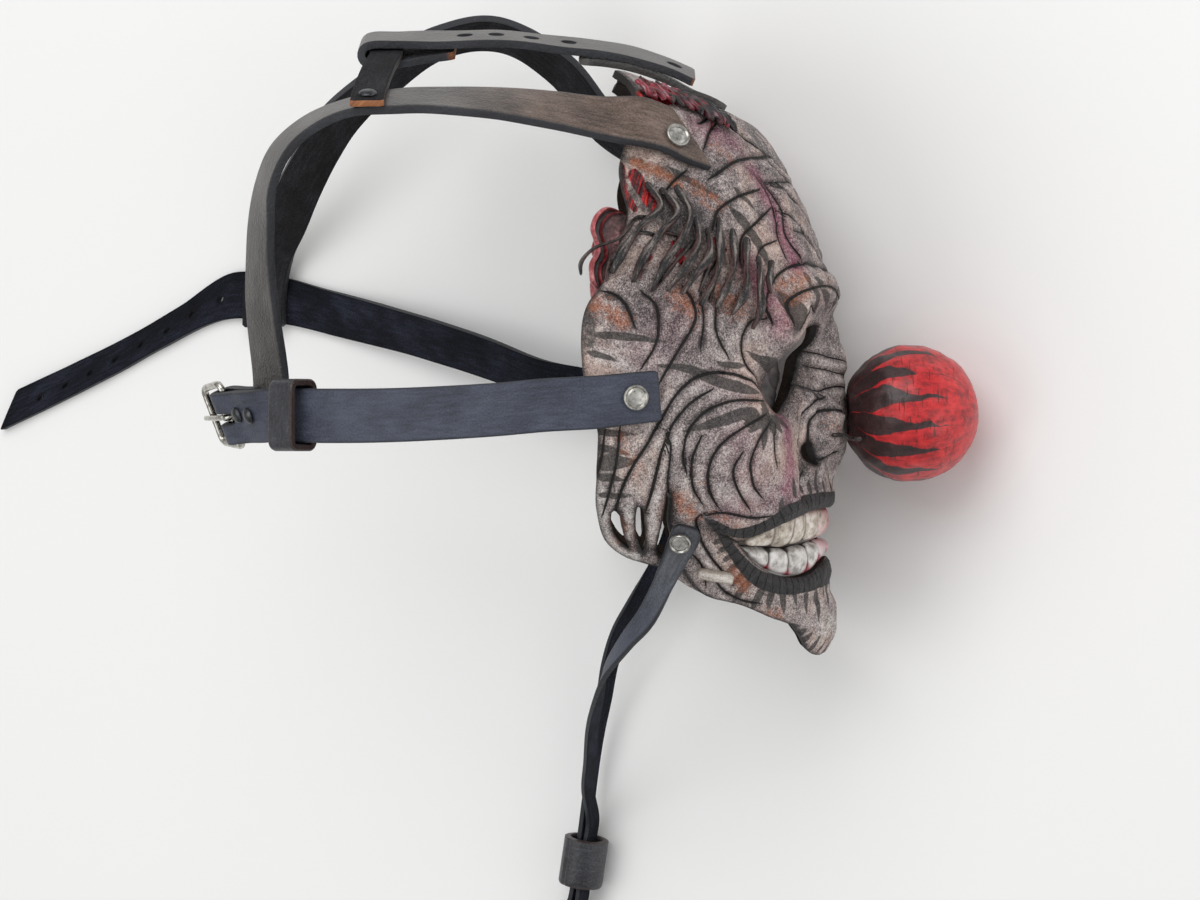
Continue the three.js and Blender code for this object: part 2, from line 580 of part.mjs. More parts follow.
// Upper bands: from the temple over the head and down behind it; each pair is the outer and the inner edge
const bandFront = [
  { edges: [[80, 120.4], [77.6, 101]], out: onFace },
  { edges: [[91, 123.4], [89, 103.8]], out: onFace + 0.5 },
  { edges: [[100, 125.4], [98.5, 107]], out: onFace + 1 },
];
const bandRightPath = [
  [[0, 128, 56.5], [5, 112, 70]],
  [[-14.5, 130, 51], [-14.5, 116.5, 67.5]],
  [[-36.4, 131.8, 47], [-36.2, 121, 64]],
  [[-58, 132.2, 45], [-58, 123.3, 62.5]],
  [[-73.5, 131.6, 44], [-72.7, 123.6, 61.5]],
  [[-93, 128.3, 41], [-91.2, 122.5, 59]],
  [[-109.2, 122, 37], [-104, 117.5, 55]],
  [[-120.8, 112.5, 32], [-114, 109.2, 49.5]],
  [[-127.2, 99.9, 26], [-120.3, 96.5, 44]],
  [[-130.5, 84.5, 21], [-121.6, 82, 38.5]],
  [[-131.6, 69.5, 18], [-121.7, 69, 35]],
  [[-131.8, 49.4, 13], [-120.1, 48.8, 29]],
  [[-130.4, 27, 5], [-117.6, 27, 20]],
  [[-130, 9, 4.5], [-117.4, 9, 19.5]],
];
const bandLeftPath = [
  [[5.7, 134.3, -57], [-1, 124, -73.5]],
  [[-12.7, 155, -49.6], [-19.3, 147, -66.4]],
  [[-40, 169, -46.6], [-40, 159, -63.4]],
  [[-65.5, 165, -45.6], [-62.5, 156, -62.4]],
  [[-88, 150.6, -47.6], [-82, 142.4, -64.4]],
  [[-108, 138, -67], [-98, 129, -81]],
  [[-125, 119, -93], [-112, 109, -104]],
  [[-138, 99, -124], [-122, 91, -128]],
  [onTable(-147.5, 82, 10), onTable(-129.5, 79, 9)],
  [onTable(-150.5, 68, 5.9), onTable(-132.5, 67, 5.9)],
  [onTable(-151, 52, 5.9), onTable(-133, 52, 5.9)],
];
const bandRails = [1, -1].map((side) => [
  ...bandFront.map(({ edges, out }) => edges.map(([along, up]) => offFace(side * along, up, out))),
  ...(side > 0 ? bandRightPath : bandLeftPath).map((pair) => pair.map((p) => new THREE.Vector3(...p))),
]);
place('band_right', ribbon(bandRails[0], leather, 1), 'bandLeather');
place('band_left', ribbon(bandRails[1], leather, 1), 'bandLeather');

// Crown strap: over the top of the head, folded about the link strap at the rear
const crownBank = [0, -0.31, 0.95];
const crownPath = [
  [35.5, 141.4], [25, 146], [12, 150.1], [0, 152.2], [-15, 154], [-38, 156.2], [-61, 155.9], [-76, 155.8], [-86.5, 155.7],
  [-89.1, 154.6], [-90.2, 152], [-89.1, 149.4], [-86.5, 148.3], [-77, 148.4], [-66, 150.2], [-55, 151.9],
];
const crownThickness = 3;
const crownHalf = 9.5;
const crownHoles = [-51.3, -38.8, -25.5, -11.8];
function crownStrap() {
  const rails = railsAbout(crownPath.map(([x, y]) => [x, y, 0]), crownPath.map(() => crownBank), crownHalf);
  let strap = toSolid(ribbon(rails, crownThickness, 1));
  for (const x of crownHoles) {
    const y = lookUp([...crownPath.slice(0, 9)].reverse(), 1, x);
    const up = new THREE.Vector3(0, 0.95, 0.31);
    const middle = new THREE.Vector3(x, y, 0);
    const ends = [-1, 2.5].map((k) => middle.clone().addScaledVector(up, k * 1.6));
    strap = strap.subtract(toSolid(rod(ends[0], ends[1], 3, 6)));
  }
  return toGeometry(strap);
}
place('crown_strap', crownStrap(), 'bandLeather');

const tabPath = [[-8, 149.2], [0, 148.3], [12, 145.9], [25, 141.1], [34, 136.4], [41, 133.2], [47.5, 129.4]];
const tabBank = tabPath.map((point, i) => [0, -0.31 + 0.05 * i, 0.95]);
const tabRails = railsAbout(tabPath.map(([x, y]) => [x, y, 0]), tabBank, crownHalf - 0.5);
place('crown_tab', ribbon(tabRails, crownThickness - 0.4, 1), 'bandLeather');

// Link strap: from band to band through the fold of the crown strap
const linkPath = [
  [-84.6, 125.6, 64], [-84.4, 130.6, 52.4], [-83.6, 136.2, 40], [-82.2, 142.6, 28], [-81, 147.2, 15], [-80.8, 149, 9.5],
  [-80.8, 152, 0], [-80.8, 154.9, -9.5], [-82, 157.3, -20], [-84, 158.8, -32], [-86, 157.8, -45], [-88, 152.4, -58],
  [-87, 148.6, -67],
];
const linkAcross = linkPath.map((point, i) => (i < 9 ? [1, 0, 0] : [1, 0.24 * (i - 8), 0]));
const linkThickness = 2.6;
place('link_strap', ribbon(railsAbout(linkPath, linkAcross, 6.2), linkThickness, 1), 'loopLeather');

// Chin straps: from the jaw down to the slide, first flat on the leather, then on edge
const chinHalf = 4.5;
const onJaw = 2.9;            // middle of a chin strap above the jaw it starts on
const slideOuter = 9;
const slideBore = 6.2;
const slideAxis = [[-5.3, -157.2], [-8.1, -176.5]].map(([x, y]) => onTable(x, y, slideOuter + 0.1));
const slideSide = slideAxis[1].clone().sub(slideAxis[0]).cross(tableDown).normalize();
const inSlide = (t, aside) => slideAxis[0].clone().lerp(slideAxis[1], t).addScaledVector(slideSide, aside);
const chinRight = [
  ...[[17.2, -60.9, 48], [9.8, -70.7, 38], [2.3, -82.8, 20], [-0.8, -95.4, -1], [-3.1, -108.7, -26], [-3.9, -122.2, -50],
    [-4.8, -136, -74]].map(vector),
  inSlide(-0.35, 1.5), inSlide(0.2, 1.35), inSlide(0.8, 1.35), inSlide(1.3, 1.7), onTable(-10, -190, 4.8), onTable(-12, -203, 4.8),
];
const chinLeft = [
  ...[[14.7, -61, -66], [8, -73, -73], [4, -86, -80], [1.6, -100, -85.5], [-1, -114, -90], [-3.2, -130, -93]].map(vector),
  inSlide(-0.45, -1.6), inSlide(0.2, -1.35), inSlide(0.8, -1.35), inSlide(1.3, -1.6), onTable(-15.5, -193, 4.8), onTable(-20, -208, 4.8),
];
function chinStrap(side, path, across) {
  const head = [[96.2, -26.2], [97.7, -30.7], [100, -37.6]].map(([along, up], i) => {
    const half = [4.2, 5.4, 4.8][i];
    return [[-0.94, -0.33], [0.94, 0.33]].map(([x, y]) => offFace(side * (along + x * half), up + y * half, onJaw));
  });
  const rails = path.map((middle, i) => {
    const edge = across(i).normalize().multiplyScalar(chinHalf);
    return [middle.clone().sub(edge), middle.clone().add(edge)];
  });
  return ribbon([...head, ...rails], thinLeather, 1);
}
const chinRightAcross = (i) => new THREE.Vector3(-0.5, 0.76, -0.64).lerp(tableDown, Math.min(1, i / 3.5));
const chinLeftAcross = (i) => new THREE.Vector3(-0.7, 0.4, 0.6).lerp(tableDown.clone().negate(), Math.min(1, i / 5));
place('chin_strap_right', chinStrap(1, chinRight, chinRightAcross), 'slateLeather');
place('chin_strap_left', chinStrap(-1, chinLeft, chinLeftAcross), 'slateLeather');

function chinSlide() {
  const tube = toSolid(rod(slideAxis[0], slideAxis[1], slideOuter, 16));
  return toGeometry(tube.subtract(toSolid(rod(inSlide(-0.2, 0), inSlide(1.2, 0), slideBore, 12))));
}
place('chin_slide', chinSlide(), 'loopLeather');

// Buckle: a wire frame hinged on the fold, and the prong on the same bar
const frameHalf = 12.8;
const frameEndHalf = 11;
const frameReach = 16.5;
function buckleFrame() {
  const bend = 2.4;
  const corners = [[0, -frameHalf], [0, frameHalf], [frameReach, frameEndHalf], [frameReach, -frameEndHalf]];
  const path = corners.flatMap(([s, w], i) => [3, 1].flatMap((turn) => {
    const [toS, toW] = corners[(i + turn) % 4];
    const long = Math.hypot(toS - s, toW - w);
    const near = (reach) => [s + (toS - s) * reach / long, w + (toW - w) * reach / long];
    const nearer = near(bend * 0.3);
    return turn === 3 ? [near(bend), nearer] : [nearer, near(bend)];
  }));
  const wire = new THREE.TorusGeometry(10, wireRadius, 6, path.length);
  return reshape(wire, (p) => {
    const k = Math.round(Math.atan2(p.y, p.x) / (2 * Math.PI / path.length) + path.length) % path.length;
    const before = path[(k + path.length - 1) % path.length];
    const after = path[(k + 1) % path.length];
    const long = Math.hypot(after[0] - before[0], after[1] - before[1]);
    const out = Math.hypot(p.x, p.y) - 10;
    const s = path[k][0] + out * (after[1] - before[1]) / long;
    const w = path[k][1] - out * (after[0] - before[0]) / long;
    return atBuckle(s, -p.z, w);
  });
}
function buckleProng() {
  const eye = wireRadius + 0.4 + prongRadius;
  const section = new THREE.Path().absarc(eye, 0, prongRadius, 0, 2 * Math.PI).getPoints(5);
  section[section.length - 1] = section[0].clone();
  const ring = new THREE.LatheGeometry(section, 10);
  reshape(ring, (p) => atBuckle(p.x, p.z, -p.y));
  const lie = wireRadius + prongRadius + gap;
  const bent = atBuckle(eye + 0.6, 1.4, 0);
  return joined([ring, rod(atBuckle(eye - 0.4, 0.6, 0), bent, prongRadius), rod(bent, atBuckle(frameReach + 2.4, lie, 0), prongRadius)]);
}
place('buckle_frame', buckleFrame(), 'nickel');
place('buckle_prong', buckleProng(), 'nickel');

// Rivet caps
const strapTop = onFace + leather / 2 + gap;
const rivetRadius = 4.6;
placePair('rivet_cheek', rivetOnFace(114, 19, strapTop, rivetRadius), 'nickel');
placePair('rivet_temple', rivetOnFace(91.3, 112, strapTop, rivetRadius), 'nickel');
placePair('rivet_jaw', rivetOnFace(97.7, -30.9, onJaw + thinLeather / 2 + gap + 0.95, 4), 'nickel');
const foldTop = layerHalf + leather / 2 + gap;
place('rivet_fold_1', rivetCap(atBuckle(-14.4, foldTop + 0.1, 1.5), outOfStrap, 3.2), 'gunmetal');
place('rivet_fold_2', rivetCap(atBuckle(-24, foldTop + 0.1, 1), outOfStrap, 3.2), 'gunmetal');
const linkTop = new THREE.Vector3(0, 0.93, 0.37).normalize();
const linkRivetBase = new THREE.Vector3(-84.5, 128.2, 58.2).addScaledVector(linkTop, linkThickness / 2 + gap + 0.1);
place('rivet_link', rivetCap(linkRivetBase, linkTop, 3.4), 'gunmetal');
const bandRivetBase = onTable(-142, 60, 5.9 + leather / 2 + gap);
place('rivet_band_left', rivetCap(bandRivetBase, tableDown.clone().negate(), 3.4), 'gunmetal');

// The origin is under the middle of the whole part, on the table
const mask = new THREE.Group();
mask.add(laid);
mask.updateMatrixWorld(true);
const reach = new THREE.Box3().setFromObject(mask, true);
const middle = reach.getCenter(new THREE.Vector3());
laid.position.add(new THREE.Vector3(-middle.x, -middle.y, -reach.min.z));

export default mask;
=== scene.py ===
import math
from functools import partial

import bmesh
import bpy
import numpy as np
from mathutils import Matrix, Vector


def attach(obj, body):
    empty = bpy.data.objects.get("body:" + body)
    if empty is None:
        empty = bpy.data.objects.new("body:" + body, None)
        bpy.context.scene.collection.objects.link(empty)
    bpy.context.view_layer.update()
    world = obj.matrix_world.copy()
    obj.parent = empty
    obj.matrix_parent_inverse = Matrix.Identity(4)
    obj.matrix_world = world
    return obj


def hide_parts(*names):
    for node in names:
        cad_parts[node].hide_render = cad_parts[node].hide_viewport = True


# A hand-moulded leather clown mask with its straps, lying on its left cheek.
# Pieces are worked out in millimetres on the worn mask (x forward, y up, z to the wearer's right)
# and laid down in the row as they are made.
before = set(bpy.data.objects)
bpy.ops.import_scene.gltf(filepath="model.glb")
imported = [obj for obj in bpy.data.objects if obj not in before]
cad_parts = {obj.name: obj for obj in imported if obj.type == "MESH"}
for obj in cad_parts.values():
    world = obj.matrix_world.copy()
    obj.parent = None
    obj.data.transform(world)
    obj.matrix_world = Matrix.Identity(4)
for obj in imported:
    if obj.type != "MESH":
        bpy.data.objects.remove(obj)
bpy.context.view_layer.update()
scene = bpy.context.scene

rest = {"roll": 27.3, "pitch": 2.9, "origin": (22.8859, -104.8067, 83.8396)}   # degrees, mm
turn = (Matrix.Rotation(math.radians(rest["roll"]), 3, "X")
        @ Matrix.Rotation(math.radians(rest["pitch"]), 3, "Y")
        @ Matrix.Rotation(math.radians(-90), 3, "Z"))
turnRows = np.array(turn)


def toRow(worn):
    # from millimetres on the worn mask to metres in the row
    return (np.asarray(worn, float) @ turnRows.T + rest["origin"]) / 1000


# Camera, looking straight at the wearer's right side of the mask
camera = {"away": 1400, "wide": 456, "sensor": 36}       # mm, wide at the mask
lens = bpy.data.cameras.new("view")
lens.sensor_width = camera["sensor"]
lens.lens = camera["sensor"] * camera["away"] / camera["wide"]
eye = bpy.data.objects.new("camera", lens)
scene.collection.objects.link(eye)
eye.matrix_world = Matrix.Translation(toRow((0, 0, camera["away"]))) @ turn.to_4x4()
scene.camera = eye

# Soft studio light: one big panel beside the camera, a lower one in front of the face, one behind
panels = {
    "key": {"at": (-420, 900, 1150), "to": (0, 20, 0), "size": 1.3, "power": 10},
    "fill": {"at": (1050, -150, 900), "to": (40, 0, 0), "size": 1.2, "power": 4.2},
    "rear": {"at": (-1000, -200, 700), "to": (-60, 20, 0), "size": 1.0, "power": 3.6},
}
for name, panel in panels.items():
    light = bpy.data.lights.new(name, "AREA")
    light.shape = "DISK"
    light.size = panel["size"]
    light.energy = panel["power"]
    lamp = bpy.data.objects.new(name, light)
    scene.collection.objects.link(lamp)
    start, goal = Vector(toRow(panel["at"])), Vector(toRow(panel["to"]))
    aim = (goal - start).to_track_quat("-Z", "Y").to_matrix().to_4x4()
    lamp.matrix_world = Matrix.Translation(start) @ aim
scene.view_settings.view_transform = "Standard"
skyStrength = 0.48                                       # even white from all round
world = bpy.data.worlds.new("studio")
scene.world = world
world.use_nodes = True
world.node_tree.nodes["Background"].inputs["Color"].default_value = (1, 1, 1, 1)
world.node_tree.nodes["Background"].inputs["Strength"].default_value = skyStrength
print("camera and lights")


def colour(tone):
    # hex sRGB, or a plain grey, as the linear colour a socket takes
    if not isinstance(tone, str):
        return (tone, tone, tone, 1)
    parts = [int(tone[i:i + 2], 16) / 255 for i in (1, 3, 5)]
    return tuple(p / 12.92 if p <= 0.04045 else ((p + 0.055) / 1.055) ** 2.4 for p in parts) + (1,)


evenly = {"interpolation_type": "LINEAR"}
# what most nodes of a kind are set to, and which of their outputs is read
usual = {
    "Math": (0, {"operation": "MULTIPLY_ADD"}), "Mix": (2, {"data_type": "RGBA"}),
    "MapRange": (0, {"interpolation_type": "SMOOTHSTEP"}), "Attribute": (2, {}), "TexCoord": (3, {})}


def feed(tree, sockets, values):
    for key, value in values.items():
        if isinstance(value, bpy.types.NodeSocket):
            tree.links.new(value, sockets[key])
        elif value is not None:
            sockets[key].default_value = colour(value) if isinstance(value, str) else value


def addNode(tree, kind, inputs=(), out=None, **settings):
    node = tree.nodes.new("ShaderNode" + kind)
    usualOut, usualSettings = usual.get(kind, (0, {}))
    for key, value in {**usualSettings, **settings}.items():
        if key == "stops":
            marks = node.color_ramp.elements
            while len(marks) < len(value):
                marks.new(0.5)
            for mark, (place, tone) in zip(marks, value):
                mark.position, mark.color = place, colour(tone)
        else:
            setattr(node, key, value)
    feed(tree, node.inputs, inputs if isinstance(inputs, dict) else dict(enumerate(inputs)))
    return node.outputs[usualOut if out is None else out]


def newMaterial(name, recipe, *look):
    # the recipe adds nodes and says what each socket of the shader takes
    material = bpy.data.materials.new(name)
    material.use_nodes = True
    tree = material.node_tree
    feed(tree, tree.nodes["Principled BSDF"].inputs, recipe(partial(addNode, tree), *look))
    return material


# Veg-tanned leather, wet-moulded, tooled and dabbed with acrylic from a sponge: the eye sees a matt bone
# grey full of dark specks, rust dabs and plum washes, dry-brushed charcoal bands and wet red wounds.
faceLook = {
    "speck": 1900, "dab": 820, "sponge": 400, "daub": 190, "cloud": 34,    # marks of 0.5 to 30 mm
    "bone": [(0.34, "#3a3434"), (0.44, "#7b7171"), (0.51, "#a49996"), (0.58, "#c9c0bc"), (0.70, "#f0ebe7")],
    "earth": [(0.36, "#3c2a24"), (0.50, "#9a7d70"), (0.66, "#cdb4a8")],
    "chalk": [(0.36, "#4c4543"), (0.47, "#b3aca8"), (0.60, "#e6e2de")],
    "rust": [(0.38, "#5a3220"), (0.52, "#a8613e"), (0.68, "#cf9270")],
    "plum": [(0.36, "#3a1626"), (0.52, "#8a3f5b"), (0.68, "#bd8ea2")],
    "wound": [(0.36, "#0b0607"), (0.46, "#3a0a10"), (0.54, "#8f1219"), (0.63, "#d42a22"), (0.74, "#e8703a")],
    "charcoal": [(0.36, "#151414"), (0.52, "#302e2c"), (0.72, "#57534e")],
    "lip": [(0.34, "#121111"), (0.52, "#2d2a2b"), (0.72, "#4f4b4c")], "pleat": 3.7, "ink": "#0a0b08"}


def facePaint(add, look):
    place = add("TexCoord")
    chart = add("UVMap", uv_map="flat")
    zones = add("Attribute", out=0, attribute_name="zones")
    forms = add("Attribute", out=0, attribute_name="forms")
    rust, plum, wound = (add("SeparateColor", [zones], k) for k in range(3))
    ridge, edge, shade = (add("SeparateColor", [forms], k) for k in range(3))
    inkSide, inkNear, strokeIn, lipIn, lipRun, chalk, soot = (
        add("Attribute", attribute_name=name)
        for name in ("inkSide", "inkNear", "strokeIn", "lipIn", "lipRun", "chalk", "soot"))
    speck, dab, sponge, daub, cloud = (
        add("TexNoise", {"Vector": place, "Scale": look[name], "Detail": 3.0, "Roughness": 0.62})
        for name in ("speck", "dab", "sponge", "daub", "cloud"))

    grain = add("Math", [speck, 0.6, add("Math", [dab, 0.3], operation="MULTIPLY")])
    grain = add("Math", [daub, 0.1, grain])
    # tone follows the fine relief: a painted highlight on raised places, painted shade in the grooves and at
    # the rim
    tone = add("Math", [ridge, 0.2, add("Math", [grain, 0.1], operation="SUBTRACT")])
    tone = add("Math", [shade, -0.22, tone])
    tone = add("Math", [add("Math", [cloud, 0.5], operation="SUBTRACT"), 0.45, tone])
    base = add("ValToRGB", [tone], stops=look["bone"])
    earth = add("ValToRGB", [tone], stops=look["earth"])
    share = add("MapRange", [cloud, 0.42, 0.66, 0.0, 0.75])
    base = add("Mix", {0: share, 6: base, 7: earth})
    # whitish dry-brush patches, partly a painted highlight on raised places
    white = add("ValToRGB", [grain], stops=look["chalk"])
    share = add("MapRange", [add("Math", [daub, chalk], operation="ADD"), 0.75, 1.15, 0.0, 0.9], **evenly)
    base = add("Mix", {0: share, 6: base, 7: white})

    # plum wash, then dry-brushed charcoal with the sponge marks breaking its edges; the dark zones add
    # charcoal on the ear lobe and upper temple and painted shade under the thongs and the brow
    share = add("Math", [plum, add("Math", [sponge, -0.9, 1.2])], operation="MULTIPLY")
    base = add("Mix", {0: share, 6: base, 7: add("ValToRGB", [grain], stops=look["plum"])})
    ragged = add("Math", [sponge, 0.9, -0.45])
    ragged = add("Math", [speck, 0.6, add("Math", [ragged, 0.3], operation="SUBTRACT")])
    reach = add("Math", [strokeIn, ragged], operation="ADD")
    share = add("MapRange", [reach, -0.2, 0.2, 0.0, 0.86])
    charcoal = add("ValToRGB", [grain], stops=look["charcoal"])
    # dark zones: charcoal paint, and painted shade under the thongs and the brow
    smoke = add("Math", [add("Math", [sponge, 0.5], operation="SUBTRACT"), 1.2, soot])
    smoke = add("MapRange", [smoke, 0.35, 0.95, 0.0, 0.85])
    share = add("Math", [share, smoke], operation="MAXIMUM")
    base = add("Mix", {0: share, 6: base, 7: charcoal})

    share = add("Math", [rust, 0.52, add("Math", [sponge, 0.95], operation="MULTIPLY")])
    share = add("MapRange", [share, 0.62, 1.05, 0.0, 0.74])
    base = add("Mix", {0: share, 6: base, 7: add("ValToRGB", [grain], stops=look["rust"])})

    # lips: charcoal with thin creases across them
    reach = add("Math", [ragged, 0.3, lipIn])
    lipShare = add("MapRange", [reach, -0.3, 0.2, 0.0, 1.0])
    base = add("Mix", {0: lipShare, 6: base, 7: add("ValToRGB", [grain], stops=look["lip"])})
    wobble = add("Math", [daub, 0.7, add("Math", [lipRun, look["pleat"]], operation="DIVIDE")])
    pleat = add("Math", [wobble, 0.5], operation="PINGPONG")
    pleat = add("MapRange", [pleat, 0.03, 0.11, 1.0, 0.0])
    pleat = add("Math", [pleat, lipShare], operation="MULTIPLY")
    base = add("Mix", {0: pleat, 6: base, 7: look["ink"]})

    # wounds: torn strands that run down the temple
    slant = (0, 0, math.radians(-67))
    strands = add("Mapping", {0: chart, 2: slant, 3: (1 / 70, 1 / 620, 1)}, vector_type="TEXTURE")
    strands = add("TexNoise", {"Vector": strands, "Scale": 1.0, "Detail": 4.0, "Roughness": 0.6})
    torn = add("Math", [strands, 0.8, add("Math", [daub, 0.2], operation="MULTIPLY")])
    woundShare = add("Math", [sponge, 0.5, wound])
    woundShare = add("MapRange", [woundShare, 0.58, 0.8, 0.0, 1.0])
    base = add("Mix", {0: woundShare, 6: base, 7: add("ValToRGB", [torn], stops=look["wound"])})

    # tooled lines, black in their depth, with a faint painted shade beside them
    across = add("Math", [inkSide], operation="ABSOLUTE")
    line = add("MapRange", [across, 0.75, 1.2, 1.0, 0.0])
    close = add("MapRange", [inkNear, 0.85, 1.1, 1.0, 0.0], **evenly)
    # painted shade beside the grooves
    halo = add("MapRange", [inkNear, 0.3, 2.2, 0.25, 0.0])
    base = add("Mix", {0: halo, 6: base, 7: "#2c2421"})
    line = add("Math", [line, close], operation="MULTIPLY")
    base = add("Mix", {0: line, 6: base, 7: look["ink"]})
    share = add("Math", [edge, add("Math", [sponge, 0.8, 0.35])], operation="MULTIPLY")
    base = add("Mix", {0: share, 6: base, 7: "#1e1a19"})
    rough = add("Math", [woundShare, -0.3, add("Math", [sponge, 0.25, 0.42])])

    pores = add("TexVoronoi", {"Vector": place, "Scale": 640.0})
    height = add("Math", [speck, 0.8, pores])
    bump = add("Bump", {"Height": height, "Distance": 0.0003})
    bump = add("Bump", {"Height": torn, "Distance": 0.0012, "Strength": woundShare, "Normal": bump})
    groove = add("MapRange", [across, 0.2, 1.7, 0.0, 1.0])
    groove = add("Math", [groove, add("Math", [1.0, close], operation="SUBTRACT")], operation="MAXIMUM")
    bump = add("Bump", {"Height": groove, "Distance": 0.0005, "Normal": bump})
    bump = add("Bump", {"Height": pleat, "Distance": 0.0004, "Normal": bump}, invert=True)
    return {"Base Color": base, "Roughness": rough, "Specular IOR Level": 0.4, "Normal": bump}


# Vegetable-tanned strap leather, drum-dyed and waxed: even satin grain, cloudy dye, burnished darker edges,
# and a napped suede side. Raw cut ends show the tan of the undyed middle.
leathers = {
    "waxedSlateGrain": {
        "stops": ["#262a36", "#3a3f4e", "#4e5364"], "edge": "#1c1e27", "rough": 0.58,
        "front": ["#33353b", "#4d4f55", "#6b6d71"]},
    "slateSuede": {
        "stops": ["#0c0d12", "#1b1d27", "#343746"], "edge": "#12131a", "rough": 0.9, "nap": 1.5,
        "deep": 0.5, "shine": 0.2},
    "slateCutEdge": {"stops": ["#15171d", "#23262f", "#383c47"], "edge": "#17191f", "rough": 0.62},
    "waxedBandGrain": {
        "stops": ["#383635", "#53504e", "#6f6c69"], "edge": "#2b2a2a", "rough": 0.4,
        "front": ["#33261f", "#5d4c43", "#86736a"]},
    "bandSuede": {
        "stops": ["#141415", "#252528", "#3e3e43"], "edge": "#1c1c1f", "rough": 0.88, "nap": 1.5,
        "deep": 0.4, "shine": 0.2},
    "bandCutEdge": {
        "stops": ["#222328", "#393b41", "#5a5c63"], "edge": "#27282c", "rough": 0.66, "raw": True,
        "nap": 1.2, "deep": 0.3},
    "waxedLoopGrain": {
        "stops": ["#1b1b20", "#303136", "#4f5056"], "edge": "#3b2a24", "rough": 0.4, "raw": True},
    "loopCutEdge": {
        "stops": ["#17181b", "#26272b", "#3c3d42"], "edge": "#2f221d", "rough": 0.6, "raw": True},
    "dampFleshSide": {
        "stops": ["#1d1511", "#3a2a20", "#594536"], "edge": "#150f0d", "rough": 0.88, "nap": 1.4,
        "deep": 0.4, "shine": 0.2},
    "inkedCutRim": {"stops": ["#0d0a09", "#1f1916", "#43372f"], "edge": "#110d0c", "rough": 0.7},
    "brushedDarkThong": {
        "stops": ["#100e0f", "#343030", "#8a807a"], "edge": "#0f0d0e", "rough": 0.44, "deep": 0.5,
        "brush": 1.3, "stain": ["#3a1417", "#7a3a3c", "#9d6a5f"]},
    "paintedPaleThong": {
        "stops": ["#85796f", "#cbc3ba", "#efebe5"], "edge": "#6b5d50", "rough": 0.66, "deep": 0.3},
}


def strapLeather(add, look):
    flat = add("UVMap", uv_map="flat")
    edge = add("Attribute", attribute_name="edge")
    cloud = add("TexNoise", {"Vector": flat, "Scale": 45.0, "Detail": 5.0, "Roughness": 0.6})
    pull = add("Mapping", {0: flat, 3: (0.3, 1.8, 1.0)})
    streak = add("TexNoise", {"Vector": pull, "Scale": 380.0, "Detail": 4.0, "Roughness": 0.65})
    fine = add("TexNoise", {"Vector": flat, "Scale": 1500.0, "Detail": 3.0, "Roughness": 0.7})
    brush = look.get("brush", 0.28)
    tone = add("Math", [fine, 0.36, add("Math", [cloud, 0.42], operation="MULTIPLY")])
    tone = add("Math", [add("Math", [streak, 0.5], operation="SUBTRACT"), brush, tone])
    places = (0.29, 0.39, 0.51)
    base = add("ValToRGB", [tone], stops=list(zip(places, look["stops"])))
    if "front" in look:                          # browner or paler where it meets the face
        brown = add("ValToRGB", [tone], stops=list(zip(places, look["front"])))
        front = add("Attribute", attribute_name="front")
        base = add("Mix", {0: front, 6: base, 7: brown})
    if "stain" in look:                          # red soaked in along the edges of the thongs
        red = add("ValToRGB", [tone], stops=list(zip(places, look["stain"])))
        share = add("Math", [edge, -1.1, add("Math", [cloud, 2.2], operation="MULTIPLY")])
        share = add("MapRange", [share, 0.75, 1.15, 0.0, 0.75])
        base = add("Mix", {0: share, 6: base, 7: red})
    rub = add("Math", [cloud, -1.1, edge])
    rub = add("MapRange", [rub, -0.5, 0.7, 0.7, 0.0])
    base = add("Mix", {0: rub, 6: base, 7: look["edge"]})
    if "raw" in look:
        tan = add("ValToRGB", [tone], stops=[(0.30, "#6f3d22"), (0.48, "#c08050")])
        base = add("Mix", {0: add("Attribute", attribute_name="raw"), 6: base, 7: tan})
    pores = add("TexVoronoi", {"Vector": flat, "Scale": 900.0})
    height = add("Math", [fine, look.get("nap", 0.4), pores])
    bump = add("Bump", {"Height": height, "Distance": look.get("deep", 0.16) / 1000})
    deep = 0.00012 + 0.0004 * brush * brush
    bump = add("Bump", {"Height": streak, "Distance": deep, "Normal": bump})
    return {"Base Color": base, "Roughness": add("Math", [tone, 0.5, look["rough"] - 0.2]),
            "Specular IOR Level": look.get("shine", 0.5), "Normal": bump}


# Carved leather teeth under ivory acrylic and a clear coat: wet gloss, yellow in the hollows, crimson
# at the gum, and dark brown painted shade between the teeth, along the bite and on their hidden backs
def toothPaint(add):
    place = add("TexCoord")
    gum, groove, lower, pink = (
        add("Attribute", attribute_name=name) for name in ("gum", "groove", "lower", "pink"))
    daub = add("TexNoise", {"Vector": place, "Scale": 260.0, "Detail": 4.0, "Roughness": 0.65})
    ivory = add("ValToRGB", [daub], stops=[(0.34, "#7d6d60"), (0.50, "#c3b6a6"), (0.66, "#efe9e2")])
    grey = add("ValToRGB", [daub], stops=[(0.34, "#8f8a86"), (0.50, "#cfcbc7"), (0.66, "#f0eeec")])
    base = add("Mix", {0: lower, 6: ivory, 7: grey})
    share = add("MapRange", [add("Math", [daub, pink], operation="ADD"), 0.9, 1.3, 0.0, 0.8], **evenly)
    base = add("Mix", {0: share, 6: base, 7: "#c4476a"})
    # painted shade between the teeth, along the bite and on their hidden backs
    share = add("MapRange", [add("Math", [daub, 0.5, groove]), 0.74, 1.12, 0.0, 0.94], **evenly)
    base = add("Mix", {0: share, 6: base, 7: "#241713"})
    share = add("MapRange", [add("Math", [daub, 0.7, gum]), 0.85, 1.2, 0.0, 0.92], **evenly)
    base = add("Mix", {0: share, 6: base, 7: "#8c1730"})
    return {"Base Color": base, "Roughness": 0.34, "Coat Weight": 0.35, "Coat Roughness": 0.2,
            "Normal": add("Bump", {"Height": daub, "Distance": 0.0003})}
